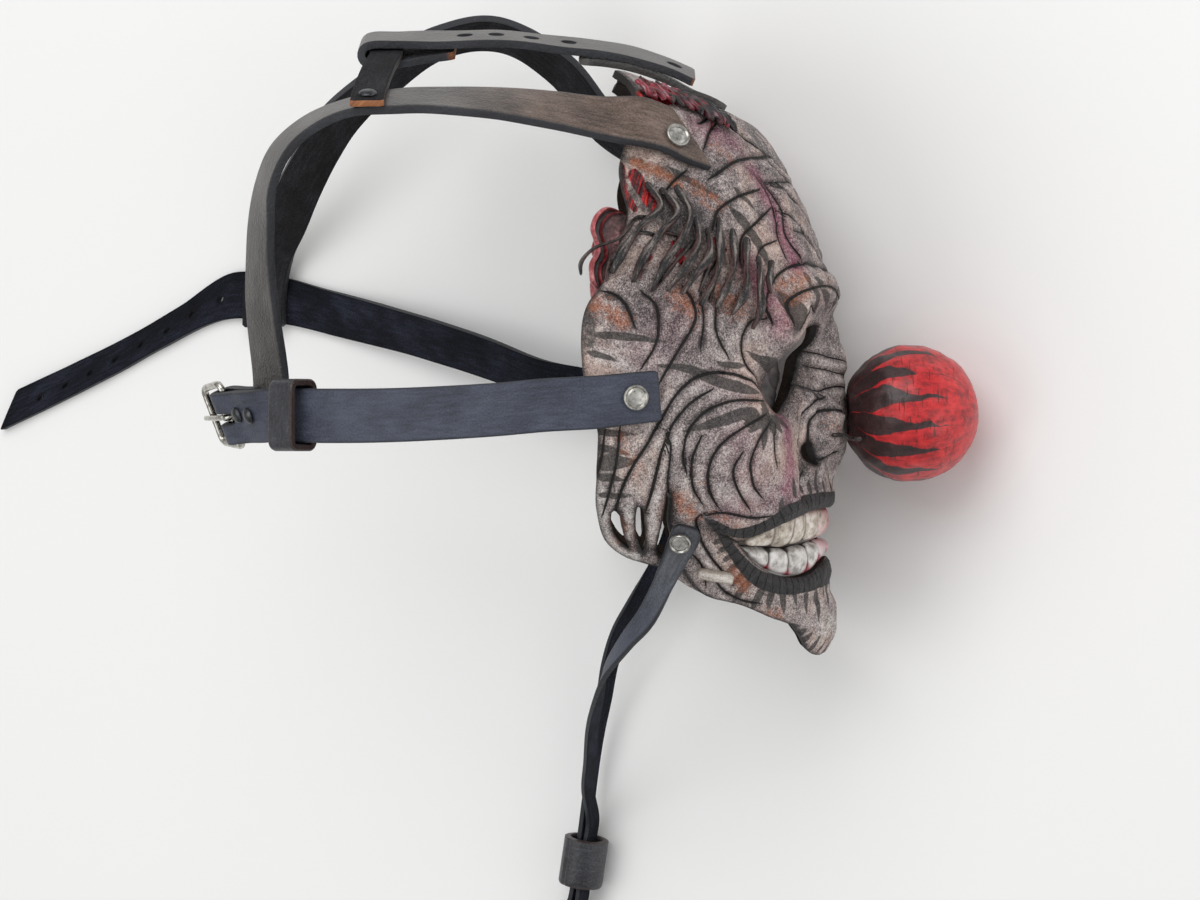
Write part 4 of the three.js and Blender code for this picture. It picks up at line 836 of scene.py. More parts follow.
# washes: line, reach, strength
washes = {
    "rust": [
        ([[126, 52.5], [117.5, 46.5]], 4.5, 0.9), ([[98, 56], [93, 50]], 6, 0.8),
        ([[83, 56.5], [75, 50]], 6, 0.8), ([[112, -8], [118, 4]], 4, 0.6),
        ([[98, -18], [94, -24.5]], 4, 0.8), ([[78, -45.5], [72.5, -50]], 4, 1.0),
        ([[66, -60.5], [58, -61.5]], 4, 0.7), ([[22, 10], [16, 2]], 6, 0.55),
        ([[109, 103.5], [98.5, 100], [93, 96]], 3, 0.95), ([[86, 96], [78, 89.5]], 6, 0.7),
        ([[68, 112], [65, 107.5], [61, 101]], 7, 0.5), ([[55, 60.5], [44.5, 63.5]], 4, 0.8),
        ([[55, 55], [45.5, 57.5]], 3, 0.8), ([[119, -26], [118, -32]], 2.5, 1.0),
        ([[111.5, -24], [111.6, -32]], 1.6, 0.9), ([[88, -22], [80, -27]], 3, 0.6),
        ([[0, 30], [6, 14]], 8, 0.4), ([[92, -8], [86, -24]], 6, 0.35)],
    "plum": [
        ([[73, 118], [55, 114]], 6, 0.6), ([[52, 101.5], [51, 92], [50, 81.5], [45.5, 68.5]], 4.5, 1.0),
        ([[73, 70.5], [67, 62.5], [62, 55]], 5, 1.0), ([[57, 10], [55, -2], [60, -14]], 4, 1.0),
        ([[78, 4], [72, -16]], 9, 0.3), ([[67, -18], [80, -21]], 6, 0.4), ([[58, 56], [60, 44]], 4, 0.7),
        ([[100, 44], [112, 30]], 10, 0.2), ([[86, 24], [72, 22]], 6, 0.2),
        ([[60, -16], [46, -20]], 5, 0.45)],
    "wound": [
        ([[110, 99], [107, 92], [104, 88]], 3, 1.0), ([[114.5, 103], [115, 94], [112, 87]], 1.6, 0.9),
        ([[99, 74], [97, 68]], 2.2, 0.8), ([[82, 76], [80, 73]], 2, 0.8),
        ([[70, 131], [88, 129]], 4, 0.9), ([[50, 122], [64, 127]], 2.6, 0.7),
        ([[58, 124], [66, 118]], 1.6, 0.5), ([[108, 70], [112, 62]], 2.5, 0.5)],
    # whitish patches: dry-brush paint, partly a painted highlight on the raised strips, cheeks and chin
    "chalk": [
        ([[125, -14], [124, -24.5], [120, -35.5], [113.5, -40]], 2.5, 0.6),
        ([[115, -20], [115.5, -32]], 2, 0.5), ([[107.5, -16], [108, -34]], 2.2, 0.55),
        ([[84, -14], [70, -19]], 5, 0.45), ([[30, -68], [14, -66]], 6, 0.45),
        ([[50, -8], [40, -12]], 4, 0.4), ([[122, 33], [112, 29]], 5, 0.5),
        ([[95, 22], [84, 18]], 5, 0.35), ([[16, 118], [8, 100]], 6, 0.3)],
    # dark zones: charcoal on the ear lobe and upper temple panel, and painted shade under the thongs and
    # under the brow
    "soot": [
        ([[108, 92], [100, 84], [92, 76]], 9, 0.8), ([[98, 72], [86, 68], [74, 66]], 8, 0.7),
        ([[113, 106], [104, 102], [90, 100]], 4.5, 0.8), ([[114.5, 97], [111, 90]], 3, 0.8),
        ([[128, 53], [127.5, 38]], 3, 0.9), ([[56.5, 57], [54, 51], [57, 43]], 3, 0.8),
        ([[94, 96], [92.5, 80]], 3, 0.7)],
}


def strongest(lines, along, up):
    # how much of a wash lies at a place
    found = np.zeros_like(along)
    for line, reach, strength in lines:
        found = np.maximum(found, strength * np.exp(-(nearest(curve(line, 3), along, up)[0] / reach) ** 2))
    return found


shadows = [     # dark hollows: line, reach, strength
    ([[30, 34], [44, 26], [58, 18]], 9, 0.9), ([[31, -1], [38, -6]], 5, 0.6),
    ([[88, -28], [80, -33]], 4, 0.6),
    ([[119, -23], [116, -35]], 2.4, 0.8), ([[111.5, -22], [111, -37]], 2.4, 0.8),
    ([[102, -16], [103, -38]], 3, 0.8), ([[84, 82], [96, 78]], 14, 0.3),
    ([[8, 122], [44, 104], [30, 78]], 26, 0.3), ([[72, 58], [112, 56]], 12, 0.25)]
shell = {
    "columns": 228, "rows": 206, "leftShare": 0.36,      # the hidden left half takes fewer columns
    "drift": 1.6,                                        # how far its tooling strays from the right half's
    "ink": 0.62, "lineDeep": 0.7, "brush": 1.3, "tear": 0.7, "rimDrop": 0.7, "grain": 0.22}


def flatShell(mouth):
    bm = flatGrid(shell["columns"], shell["rows"])
    spots = np.array([vert.co[:2] for vert in bm.verts])
    g, left = (spots[:, 0] + 1) / 2, shell["leftShare"]
    across = np.where(g > left, (g - left) / (1 - left), (g - left) / left)
    chart = sheetPoint(np.abs(across), (1 - spots[:, 1]) / 2)
    for vert, (along, up), side in zip(bm.verts, chart, np.where(across < 0, -1, 1)):
        vert.co = (along * side, up, 0)
    punch(bm, mouth, 1.9)
    for outline in openings.values():
        smooth = curve(outline, 5, True)
        punch(bm, smooth, 1.6)
        punch(bm, smooth[::-1] * [-1, 1], 2.2)
    bmesh.ops.delete(bm, geom=[vert for vert in bm.verts if not vert.link_faces], context="VERTS")
    pulled = bmesh.ops.extrude_face_region(bm, geom=list(bm.faces), use_keep_orig=True)["geom"]
    pulled = [item for item in pulled if isinstance(item, bmesh.types.BMVert)]
    bmesh.ops.translate(bm, verts=pulled, vec=(0, 0, -face["thick"]))
    for f in bm.faces:                                   # painted side, flesh side, cut rim
        inward = sum(vert.co.z < -1 for vert in f.verts)
        f.material_index = 0 if inward == 0 else 1 if inward == len(f.verts) else 2
    return settle(bm, "faceShell")


def makeShell():
    mouth = np.vstack([curve(upperLipInside, 5), curve(lowerLipInside, 5)[::-1]])
    mouth = np.vstack([mouth[:-1], (mouth * [-1, 1])[::-1][:-1]])
    mesh = flatShell(mouth)
    flat = coordsOf(mesh)
    chart, isInner = flat[:, :2], flat[:, 2] < -1
    along, up = chart.T
    setFlatMap(mesh, along / 1000 + 0.2, up / 1000 + 0.2)
    ax = np.abs(along)
    stray = np.where(along < 0, shell["drift"], 0)
    fx, fy = ax + ripple(chart, 60, 4) * stray, up + ripple(chart, 60, 5) * stray

    fine, lipRun = np.zeros_like(ax), np.zeros_like(ax)
    inkSide, inkNear = np.full_like(ax, 9), np.full_like(ax, 9)
    for line, wide in tooled:
        distance, sign, run, total = nearest(curve(line, 5), fx, fy)
        taper = np.clip(np.minimum(run, total - run) / 5, 0, 1) ** 0.6
        half = 0.1 + shell["ink"] * wide * (0.25 + 0.75 * taper)
        closer = distance < inkNear
        inkSide = np.where(closer, distance * sign / half, inkSide)
        inkNear = np.where(closer, distance, inkNear)
        deep = shell["lineDeep"] * (0.35 + 0.65 * taper) * (wide / 0.5) ** 0.5
        shoulder = 0.2 * taper * np.exp(-((distance - 2.4) / 1.4) ** 2)
        fine -= deep * np.exp(-(distance / 0.9) ** 2) - shoulder
    strokeIn, lipIn = np.full_like(ax, -5), np.full_like(ax, -5)
    for line, wide in brushed:
        distance, _, run, total = nearest(curve(line, 4), fx, fy)
        taper = np.clip(np.minimum(run / 0.2, (total - run) / 0.55) / total, 0, 1) ** 0.7
        strokeIn = np.maximum(strokeIn, shell["brush"] * wide * (1.1 * taper - 0.1) - distance)
    for lip in lipLines.values():
        line = curve(lip, 5)
        distance, _, run, _ = nearest(line[:, :2], ax, up)
        within = np.interp(run, lengthsOf(line[:, :2]), line[:, 2]) - distance
        lipRun = np.where(within > lipIn, run, lipRun)
        lipIn = np.maximum(lipIn, within)
    wash = {key: strongest(lines, fx, fy) for key, lines in washes.items()}

    border = face["topCentre"] - 1.5 * (ax / 62) ** 2 - up
    edges = [curve(face["rear"], 6), curve(face["jaw"], 6), closed(mouth)]
    for line in edges + [closed(curve(outline, 4, True)) for outline in openings.values()]:
        border = np.minimum(border, nearest(line, ax, up)[0])
    fine -= shell["rimDrop"] * np.exp(-(border / 0.8) ** 2)
    fine += shell["grain"] * ripple(chart, 9, 1) * np.clip(border / 4, 0, 1) + 0.08 * ripple(chart, 3.2, 2)
    torn = np.stack([0.16 * (0.39 * along - 0.92 * up), 0.92 * along + 0.39 * up], axis=-1)
    fine += wash["wound"] * shell["tear"] * ripple(torn, 3.2, 3)        # strands run down the temple
    lining = 0.2 * ripple(chart, 12, 12) - face["thick"]
    putDown(mesh, offFace(along, up, np.where(isInner, lining, fine)))
    setFloats(mesh, inkSide=inkSide, inkNear=inkNear, strokeIn=strokeIn, lipIn=lipIn, lipRun=lipRun,
              chalk=wash["chalk"], soot=wash["soot"])
    # forms: the fine relief for painted highlight and shade, the dark inked rim, and painted shade in the
    # hollows
    forms = np.clip(0.5 + fine / 1.6, 0, 1), np.exp(-(border / 0.9) ** 2), strongest(shadows, ax, up)
    setColours(mesh, zones=[wash[key] for key in ("rust", "plum", "wound")], forms=forms)
    finishes = ["face", "dampFleshSide", "inkedCutRim"]
    keep("faceShell", rework(mesh), ["face_shell"], finishes, smooth=60)


makeShell()
print("face shell")


def wholeLine(line):
    # a line of the right half with its mirror image
    line = np.asarray(line, float)
    return np.vstack([(line * [-1, 1])[::-1][:-1], line])


def stripSpot(upper, lower, t, share):
    # a place between two lines of the chart
    above, below = walk(upper, t), walk(lower, t)
    return below + share[:, None] * (above - below)


# teeth in a row, fineness of the mesh, rows on the front, and mm of belly and of depth behind the lips
teeth = {"count": 12, "columns": 300, "ring": 30, "front": 20, "bulge": 1.8, "deep": -4.5}


def makeTeeth(name, node, upper, lower, isLower, seed):
    dice = np.random.default_rng(seed)
    count, front, deep = teeth["count"], teeth["front"], teeth["deep"]
    cuts = np.linspace(0, 1, count + 1)
    cuts[1:-1] += dice.uniform(-0.012, 0.012, count - 1)
    lean = dice.uniform(-0.5, 0.5, count)
    upper, lower = wholeLine(curve(upper, 4)), wholeLine(curve(lower, 4))

    def shape(t, s):
        row = s * teeth["ring"]
        isFront = row <= front
        share = np.where(isFront, 1 - row / front, (row - front) / (teeth["ring"] - front))
        tooth = np.clip(np.searchsorted(cuts, t, side="right") - 1, 0, count - 1)
        f = (t - cuts[tooth]) / (cuts[tooth + 1] - cuts[tooth])
        swell = np.abs(np.sin(math.pi * f)) ** 0.24
        free = share if isLower else 1 - share              # 1 at the biting edge
        short = (1 - swell) * 0.12 + 0.05 * lean[tooth] * (f - 0.5)
        squeezed = np.where(isFront, free * (1 - np.clip(short, 0, 1) * free), free)
        spot = stripSpot(upper, lower, t, squeezed if isLower else 1 - squeezed)
        crown = np.abs(np.sin(math.pi * np.clip(free, 0, 1))) ** 0.35
        belly = teeth["bulge"] * swell * (0.55 + 0.45 * np.sin(math.pi * (0.25 + 0.6 * free))) - 1
        out = -3.4 + (belly + 3.4) * crown
        out = np.where(isFront, deep + (out - deep) * towards(t, 60), deep)
        # painted shade: dark between the teeth, along the bite and all over the hidden back rows
        dirty = np.where(isFront, 1 - swell ** 2 + 0.55 * np.clip((free - 0.88) / 0.12, 0, 1), 1)
        middle = np.exp(-((t - 0.5) / 0.2) ** 2)
        gum = np.where(isFront, 1 - free * 2.2 + dirty * isLower, 0)
        return offFace(*spot.T, out), {
            "gum": gum * (0.55 + (0.8 if isLower else 0.4) * middle), "groove": dirty * (1 - 0.5 * middle),
            "lower": 0 * t + isLower, "pink": 0.1 + 0.6 * middle}

    mesh = loft(name, teeth["columns"], teeth["ring"], shape)
    keep(name, mesh, [node], ["teeth"], smooth=50)


def shifted(line, rise):
    return [[along, up + rise] for along, up in line]


makeTeeth("upperTeeth", "upper_teeth", shifted(upperLipInside, -0.6)[:-1] + [[73.5, -34.6]],
          shifted(biteLine, 0.5), False, 7)
makeTeeth("lowerTeeth", "lower_teeth", shifted(biteLine, -0.5),
          shifted(lowerLipInside, 0.7)[:-1] + [[73.5, -37]], True, 8)


def makeLid(side, name, node):
    top = curve([[33, 41], [44, 36], [53, 27], [61, 17]], 6)
    foot = curve([[30, 31], [38, 26], [48, 18], [57, 12]], 6)

    def shape(t, s):
        cos, sin = np.cos(2 * math.pi * s), np.sin(2 * math.pi * s)
        share = 0.5 - 0.5 * np.sign(cos) * np.abs(cos) ** 0.8
        spot = stripSpot(top, foot, t, share)
        out = -7.2 + np.sign(sin) * np.abs(sin) ** 0.5 * towards(t, 12) + 0.25 * ripple(spot, 7, 6)
        # inner: painted shade, darkest towards the slit
        return offFace(side * spot[:, 0], spot[:, 1], out), {
            "inner": np.clip(1 - share * 1.6, 0, 1) * 0.8, "low": np.clip((t - 0.7) / 0.3, 0, 1) * 0.8}

    keep(name, loft(name, 50, 20, shape), [node], ["lid"], smooth=50)


earFold = {"roll": 2.3, "outer": -6.2, "inner": -7.4, "rollOut": -5.2,       # mm off the face
           "rollStart": 0.3, "rollEnd": 0.75}                                # shares of the way round


def makeEarFold(side, name, node):
    rim = curve([[115, 87], [120, 88], [123.7, 85], [125.2, 80.5], [124.2, 76], [123.7, 71.5], [125.7, 67],
                 [125.7, 62], [124, 57]], 6)
    root = curve([[110, 86], [109, 82], [109, 78], [110, 74], [112, 70], [114, 66], [116, 62], [117, 58]], 6)

    def shape(t, s):
        start, end = earFold["rollStart"], earFold["rollEnd"]
        angle = math.pi * (0.5 - 1.75 * np.clip((s - start) / (end - start), 0, 1))
        flap = np.where(s < start, s / start, np.where(s > end, 1 - (s - end) / (1 - end), 1))
        base = stripSpot(rim, root, t, flap)
        onRim = (s >= start) & (s <= end)
        rimWay = unit(walk(rim, t) - walk(root, t))
        swell = earFold["roll"] * (1 + 0.05 * ripple(base, 14, 9))
        swell = swell * np.clip(np.minimum(t, 1 - t) * 9, 0.15, 1) ** 0.5
        out = np.where(onRim, earFold["rollOut"] + swell * np.sin(angle),
                       np.where(s < start, earFold["outer"], earFold["inner"]))
        spot = base + rimWay * np.where(onRim, swell * np.cos(angle) - 0.4, 0)[:, None]
        out = -5.6 + (out + 5.6) * towards(t, 20)
        # painted shade in the hollow beside the rolled rim
        dark = np.where(s < start, np.exp(-((1 - flap) / 0.3) ** 2) * 0.85, 0)
        worn = offFace(side * spot[:, 0], spot[:, 1], out)
        return worn, {"rolled": np.where(onRim, 1, 0.3), "hollow": dark}

    keep(name, loft(name, 70, 34, shape), [node], ["glazedRed"], smooth=60)


sides = ((1, "right"), (-1, "left"))
for side, word in sides:
    makeLid(side, "eyelid" + word.title(), "eyelid_" + word)
    makeEarFold(side, "earFold" + word.title(), "ear_fold_" + word)
print("teeth, lids and ear folds")


# Straps: cut flat, punched, edges rounded, then bent on to their course
def layOut(rails, parts=16):
    # the course of a strap from pairs of points on its two edges
    left, right = (curve([pair[k] for pair in rails], parts) for k in (0, 1))
    middle, across = (left + right) / 2, right - left
    half = np.linalg.norm(across, axis=1) / 2
    across = unit(across)
    normal = unit(np.cross(np.gradient(middle, axis=0), across))
    return {"middle": middle, "across": across, "normal": normal, "half": half, "run": lengthsOf(middle)}


def flatSpot(lay, point, upTo=1.0):
    # where a point of the finished strap lies on the flat one
    last = int(len(lay["middle"]) * upTo)
    away = np.linalg.norm(lay["middle"][:last] - point, axis=1)
    i = int(np.argmin(away))
    return lay["run"][i], float((np.asarray(point) - lay["middle"][i]) @ lay["across"][i])


def rounded(x, y, halfX, halfY, power=2.0):
    # outline of a hole; a higher power squares its ends
    angle = np.linspace(0, 2 * math.pi, 36, endpoint=False)
    cos, sin = np.cos(angle), np.sin(angle)
    return np.stack([x + halfX * np.sign(cos) * np.abs(cos) ** (2 / power),
                     y + halfY * np.sign(sin) * np.abs(sin) ** (2 / power)], axis=-1)


strapPlan = {      # what a strap is unless its own plan says otherwise, in mm
    "thick": 3.4, "step": 1.0, "corner": 1.5, "frontCut": (0, 0), "bevel": 0.5, "outer": 1, "holes": [],
    "raw": (0, 0), "crown": 0.0, "wave": 0.15, "curl": 34, "seed": 1}


def strapMesh(name, lay, plan):
    plan = {**strapPlan, **plan}
    total, half = lay["run"][-1], float(np.median(lay["half"]))
    step, corner, outerIs, ease = plan["step"], plan["corner"], plan["outer"], 20
    bm = flatGrid(max(4, round(total / step)), max(3, round(2 * half / step)))
    for vert in bm.verts:
        vert.co.x = (vert.co.x + 1) / 2 * total
        vert.co.y *= half
    for outline in plan["holes"]:
        punch(bm, outline, 0.9 * step)
    for vert in bm.verts:                                # rounded corners and a slanted front end
        x, y = vert.co.x, vert.co.y
        past = max(0.0, abs(y) - (half - corner))
        inset = corner - math.sqrt(max(0.0, corner ** 2 - past ** 2))
        first = inset + float(np.interp(y / half, (-1, 1), plan["frontCut"]))
        if x < ease:                                     # spread over the first 20 mm
            vert.co.x += first * (1 - x / ease)
        if total - x < ease:
            vert.co.x -= inset * (1 - (total - x) / ease)
    bmesh.ops.solidify(bm, geom=list(bm.faces), thickness=plan["thick"])
    heights = [vert.co.z for vert in bm.verts]
    shift = (min(heights) + max(heights)) / 2
    for vert in bm.verts:
        vert.co.z -= shift
    bmesh.ops.recalc_face_normals(bm, faces=bm.faces)
    sharp = [e for e in bm.edges if len(e.link_faces) == 2 and e.calc_face_angle(0) > 1
             and abs(e.verts[0].co.z - e.verts[1].co.z) < 0.1]
    bmesh.ops.bevel(bm, geom=sharp, offset=plan["bevel"], offset_type="OFFSET", affect="EDGES", segments=2,
                    profile=0.5, material=-1, clamp_overlap=True)
    for f in bm.faces:                                   # grain side, suede side, cut edge
        f.material_index = 2 if abs(f.normal.z) < 0.85 else (0 if f.normal.z * outerIs > 0 else 1)
    mesh = settle(bm, name)
    x, y, z = coordsOf(mesh).T
    flat = np.stack([x, y], axis=-1)
    edge = np.minimum(half - np.abs(y), np.minimum(x, total - x))
    for outline in plan["holes"]:
        edge = np.minimum(edge, nearest(closed(outline), x, y)[0])
    setFlatMap(mesh, x / 1000 + 0.01, (y + z * 0.97) / 1000 + 0.05)
    rawFront, rawRear = plan["raw"]
    raw = np.where(x < total / 2, rawFront - x, rawRear - (total - x))
    setFloats(mesh, edge=np.maximum(edge, 0), raw=np.clip(raw / 0.6, 0, 1))
    if "brownTo" in plan:
        setFloats(mesh, front=np.clip(1 - (x - plan["brownTo"]) / 40, 0, 1))
    if "fresh" in plan:
        setFloats(mesh, fresh=np.clip(plan["fresh"] - x / total + 0.4 * ripple(flat, 9, 2), 0, 1))
    middle, across, normal = (readOff(lay[key], lay["run"], x) for key in ("middle", "across", "normal"))
    wide = np.interp(x, lay["run"], lay["half"]) / half
    crown = plan["crown"] * (1 - (y / half) ** 2) * np.sign(z) * outerIs
    lift = z + np.where(z * outerIs > 0, crown, 0) + plan["wave"] * ripple(flat, plan["curl"], plan["seed"])
    putDown(mesh, middle + across * (y * wide)[:, None] + normal * lift[:, None])
    return rework(mesh)


def makeStrap(name, node, slot, lay, finishes, **plan):
    keep(name, strapMesh(name, lay, plan), [node], finishes, smooth=45)


tableDown = np.array([0.0, 0.0, -1.0]) @ turnRows


def onTable(x, y, lift):
    # a point lift mm above the floor, below x, y of the worn mask
    return np.array([x, y, (rest["origin"][2] - lift - tableDown[0] * x - tableDown[1] * y) / tableDown[2]])


def aboutRails(points, across, half):
    # rails half mm to each side of a middle line
    ways = [unit(np.asarray(way, float)) * half for way in across]
    points = np.asarray(points, float)
    return [(point - way, point + way) for point, way in zip(points, ways)]


# mm: thickness, middle of a strap above the face, half width, air between pieces
straps = {"leather": 3.4, "thin": 2.0, "onFace": 3.1, "half": 9.75, "gap": 0.35}
slateFinish = ["waxedSlateGrain", "slateSuede", "slateCutEdge"]
bandFinish = ["waxedBandGrain", "bandSuede", "bandCutEdge"]
loopFinish = ["waxedLoopGrain", "bandSuede", "loopCutEdge"]

# buckle: s along the strap end, n outwards, w across it
buckle = {"at": np.array([-139.4, 13.2, 6.0]), "wire": 1.4, "prong": 1.1, "half": 12.8, "endHalf": 11,
          "reach": 16.5, "corner": 3.0}
buckleAlong = unit(np.array([-0.5, 0, -0.866]))
buckleAcross = unit(np.array([-0.33, 0.92, 0.19]))
buckleOut = unit(np.cross(buckleAcross, buckleAlong))


def atBuckle(s, n, w):
    s, n, w = (np.asarray(v, float)[..., None] for v in (s, n, w))
    return buckle["at"] + s * buckleAlong + n * buckleOut + w * buckleAcross


foldRadius = buckle["wire"] + 0.45 + straps["leather"] / 2
layerHalf = (straps["leather"] + straps["gap"]) / 2
slant = foldRadius * 0.71
foldPath = [[-24, layerHalf], [-14, layerHalf + 0.1], [-5, foldRadius - 0.3], [0, foldRadius], [slant, slant],
            [foldRadius, 0], [slant, -slant], [0, -foldRadius], [-5, 0.3 - foldRadius],
            [-14, -layerHalf - 0.1], [-28, -layerHalf]]
onFace = straps["onFace"]


def offEach(*pairs):
    # rails off the face from pairs of chart points, onFace clear of it
    return [tuple(offFace(along, up, onFace) for along, up in pair) for pair in pairs]


cheekRails = offEach(([105.5, 10.6], [106.5, 28.6]), ([115, 9.3], [115, 27.8]), ([124.4, 7.9], [124.4, 26.8]))
cheekRails += [([-20, 6.4, 83.2], [-20, 25.6, 83.2]), ([-38, 4.8, 81.2], [-38, 24, 81.2]),
               ([-72, 2.9, 72], [-72, 22.4, 72]), ([-100, 2.5, 56.5], [-100, 22.4, 56.5]),
               ([-115, 3, 43.5], [-116, 22.8, 43.5])]
cheekRails += [(atBuckle(s, n, -10.2), atBuckle(s, n, 10.2)) for s, n in foldPath]
cheekLay = layOut(cheekRails)
foldAt = flatSpot(cheekLay, atBuckle(foldRadius, 0, 0))[0]
makeStrap("cheekStrapRight", "cheek_strap_right", "slateLeather", cheekLay, slateFinish,
          outer=-1, corner=1.2, holes=[rounded(foldAt, 0, 15.5, 2.3, 6)], seed=3)

tailLift = 1.75
tailMiddle = [[-20, 27, -87.5], [-42, 36, -99], [-65, 44, -114.5], [-88, 51, -130.5]]
tailMiddle += [onTable(x, y, tailLift) for x, y in (
    [-112, 57.5], [-135, 63.5], [-158, 65.5], [-183.7, 53], [-206, 41.5], [-232.4, 29.5], [-260.2, 17.6])]
tailAcross = [[-0.3, 1], [-0.35, 1], [-0.33, 1], [-0.3, 1], [-0.26, 1], [-0.15, 1], [0.2, 1], [0.48, 1],
              [0.52, 1], [0.5, 1], [0.46, 1]]
tailRails = offEach(([-106.5, 10.6], [-107.5, 28.6]), ([-116, 12], [-118, 30.5]),
                    ([-124.4, 14], [-127, 32.5]))
for i, (middle, (x, y)) in enumerate(zip(tailMiddle, tailAcross)):
    isLying = i > 3
    slope = -(tableDown[0] * x + tableDown[1] * y) / tableDown[2] if isLying else 0
    tailRails += aboutRails([middle], [[x, y, slope]], 10.2 if isLying else straps["half"])
tailLay = layOut(tailRails)
tailHoles = []
for t in np.arange(8) / 7:
    hole = onTable(-244.6 + 83.3 * t, 22.8 + 41.6 * t - 1.5 * math.sin(math.pi * t), tailLift)
    tailHoles.append(rounded(*flatSpot(tailLay, hole), 1.7, 1.6))
makeStrap("cheekStrapLeft", "cheek_strap_left", "slateLeather", tailLay, slateFinish,
          corner=1.0, holes=tailHoles, seed=4, step=0.9)

bandFront = [([[80, 120.4], [77.6, 101]], onFace), ([[91, 123.4], [89, 103.8]], onFace + 0.5),
             ([[100, 125.4], [98.5, 107]], onFace + 1)]
bandPaths = {
    "right": [
        ([0, 128, 56.5], [5, 112, 70]), ([-14.5, 130, 51], [-14.5, 116.5, 67.5]),
        ([-36.4, 131.8, 47], [-36.2, 121, 64]), ([-58, 132.2, 45], [-58, 123.3, 62.5]),
        ([-73.5, 131.6, 44], [-72.7, 123.6, 61.5]), ([-93, 128.3, 41], [-91.2, 122.5, 59]),
        ([-109.2, 122, 37], [-104, 117.5, 55]), ([-120.8, 112.5, 32], [-114, 109.2, 49.5]),
        ([-127.2, 99.9, 26], [-120.3, 96.5, 44]), ([-130.5, 84.5, 21], [-121.6, 82, 38.5]),
        ([-131.6, 69.5, 18], [-121.7, 69, 35]), ([-131.8, 49.4, 13], [-120.1, 48.8, 29]),
        ([-130.4, 27, 5], [-117.6, 27, 20]), ([-130, 9, 4.5], [-117.4, 9, 19.5])],
    "left": [
        ([5.7, 134.3, -57], [-1, 124, -73.5]), ([-12.7, 155, -49.6], [-19.3, 147, -66.4]),
        ([-40, 169, -46.6], [-40, 159, -63.4]), ([-65.5, 165, -45.6], [-62.5, 156, -62.4]),
        ([-88, 150.6, -47.6], [-82, 142.4, -64.4]), ([-108, 138, -67], [-98, 129, -81]),
        ([-125, 119, -93], [-112, 109, -104]), ([-138, 99, -124], [-122, 91, -128]),
        (onTable(-147.5, 82, 10), onTable(-129.5, 79, 9)),
        (onTable(-150.5, 68, 5.9), onTable(-132.5, 67, 5.9)),
        (onTable(-151, 52, 5.9), onTable(-133, 52, 5.9))]}
for side, word in sides:
    rails = [tuple(offFace(side * along, up, out) for along, up in pair) for pair, out in bandFront]
    lay = layOut(rails + bandPaths[word])
    makeStrap("band" + word.title(), "band_" + word, "bandLeather", lay, bandFinish,
              outer=side, corner=1.0, frontCut=(7, 0), brownTo=60, seed=5 + side, step=1.3, crown=0.15)

crownPath = [[35.5, 141.4], [25, 146], [12, 150.1], [0, 152.2], [-15, 154], [-38, 156.2], [-61, 155.9],
             [-76, 155.8], [-86.5, 155.7], [-89.1, 154.6], [-90.2, 152], [-89.1, 149.4], [-86.5, 148.3],
             [-77, 148.4], [-66, 150.2], [-55, 151.9]]
crownLay = layOut(aboutRails([[x, y, 0] for x, y in crownPath], [[0, -0.31, 0.95]] * len(crownPath), 9.5))
crownTop = np.array(crownPath[8::-1])
crownHoles = []
for x in (-51.3, -38.8, -25.5, -11.8, 27.5):
    spot = flatSpot(crownLay, [x, float(np.interp(x, *crownTop.T)), 0], 0.5)
    crownHoles.append(rounded(*spot, 3.0, 2.8))
makeStrap("crownStrap", "crown_strap", "bandLeather", crownLay, bandFinish,
          thick=3.0, corner=1.2, holes=crownHoles, seed=8, raw=(1.2, 2.4), brownTo=-30)
tabPath = [[-8, 149.2], [0, 148.3], [12, 145.9], [25, 141.1], [34, 136.4], [41, 133.2], [47.5, 129.4]]
tabWays = [[0, -0.31 + 0.05 * i, 0.95] for i in range(len(tabPath))]
tabLay = layOut(aboutRails([[x, y, 0] for x, y in tabPath], tabWays, 9))
makeStrap("crownTab", "crown_tab", "bandLeather", tabLay, ["waxedBandGrain", "bandSuede", "waxedBandGrain"],
          thick=2.6, outer=-1, corner=5, seed=9)

linkPath = [[-84.6, 125.6, 64], [-84.4, 130.6, 52.4], [-83.6, 136.2, 40], [-82.2, 142.6, 28],
            [-81, 147.2, 15], [-80.8, 149, 9.5], [-80.8, 152, 0], [-80.8, 154.9, -9.5], [-82, 157.3, -20],
            [-84, 158.8, -32], [-86, 157.8, -45], [-88, 152.4, -58], [-87, 148.6, -67]]
linkWays = [[1, 0.24 * max(0, i - 8), 0] for i in range(len(linkPath))]
makeStrap("linkStrap", "link_strap", "loopLeather", layOut(aboutRails(linkPath, linkWays, 6.2)), loopFinish,
          thick=2.6, corner=0.8, seed=10, raw=(1.6, 1.6))

slide = {"outer": 9, "bore": 6.2, "wall": 1.4}
slideStart, slideEnd = (onTable(x, y, slide["outer"] + 0.1) for x, y in ([-5.3, -157.2], [-8.1, -176.5]))
slideSide = unit(np.cross(slideEnd - slideStart, tableDown))


def inSlide(t, aside):
    return slideStart + (slideEnd - slideStart) * t + slideSide * aside


chinPaths = {
    "right": [[17.2, -60.9, 48], [9.8, -70.7, 38], [2.3, -82.8, 20], [-0.8, -95.4, -1], [-3.1, -108.7, -26],
              [-3.9, -122.2, -50], [-4.8, -136, -74], inSlide(-0.35, 1.5), inSlide(0.2, 1.35),
              inSlide(0.8, 1.35), inSlide(1.3, 1.7), onTable(-10, -190, 4.8), onTable(-12, -203, 4.8)],
    "left": [[14.7, -61, -66], [8, -73, -73], [4, -86, -80], [1.6, -100, -85.5], [-1, -114, -90],
             [-3.2, -130, -93], inSlide(-0.45, -1.6), inSlide(0.2, -1.35), inSlide(0.8, -1.35),
             inSlide(1.3, -1.6), onTable(-15.5, -193, 4.8), onTable(-20, -208, 4.8)]}
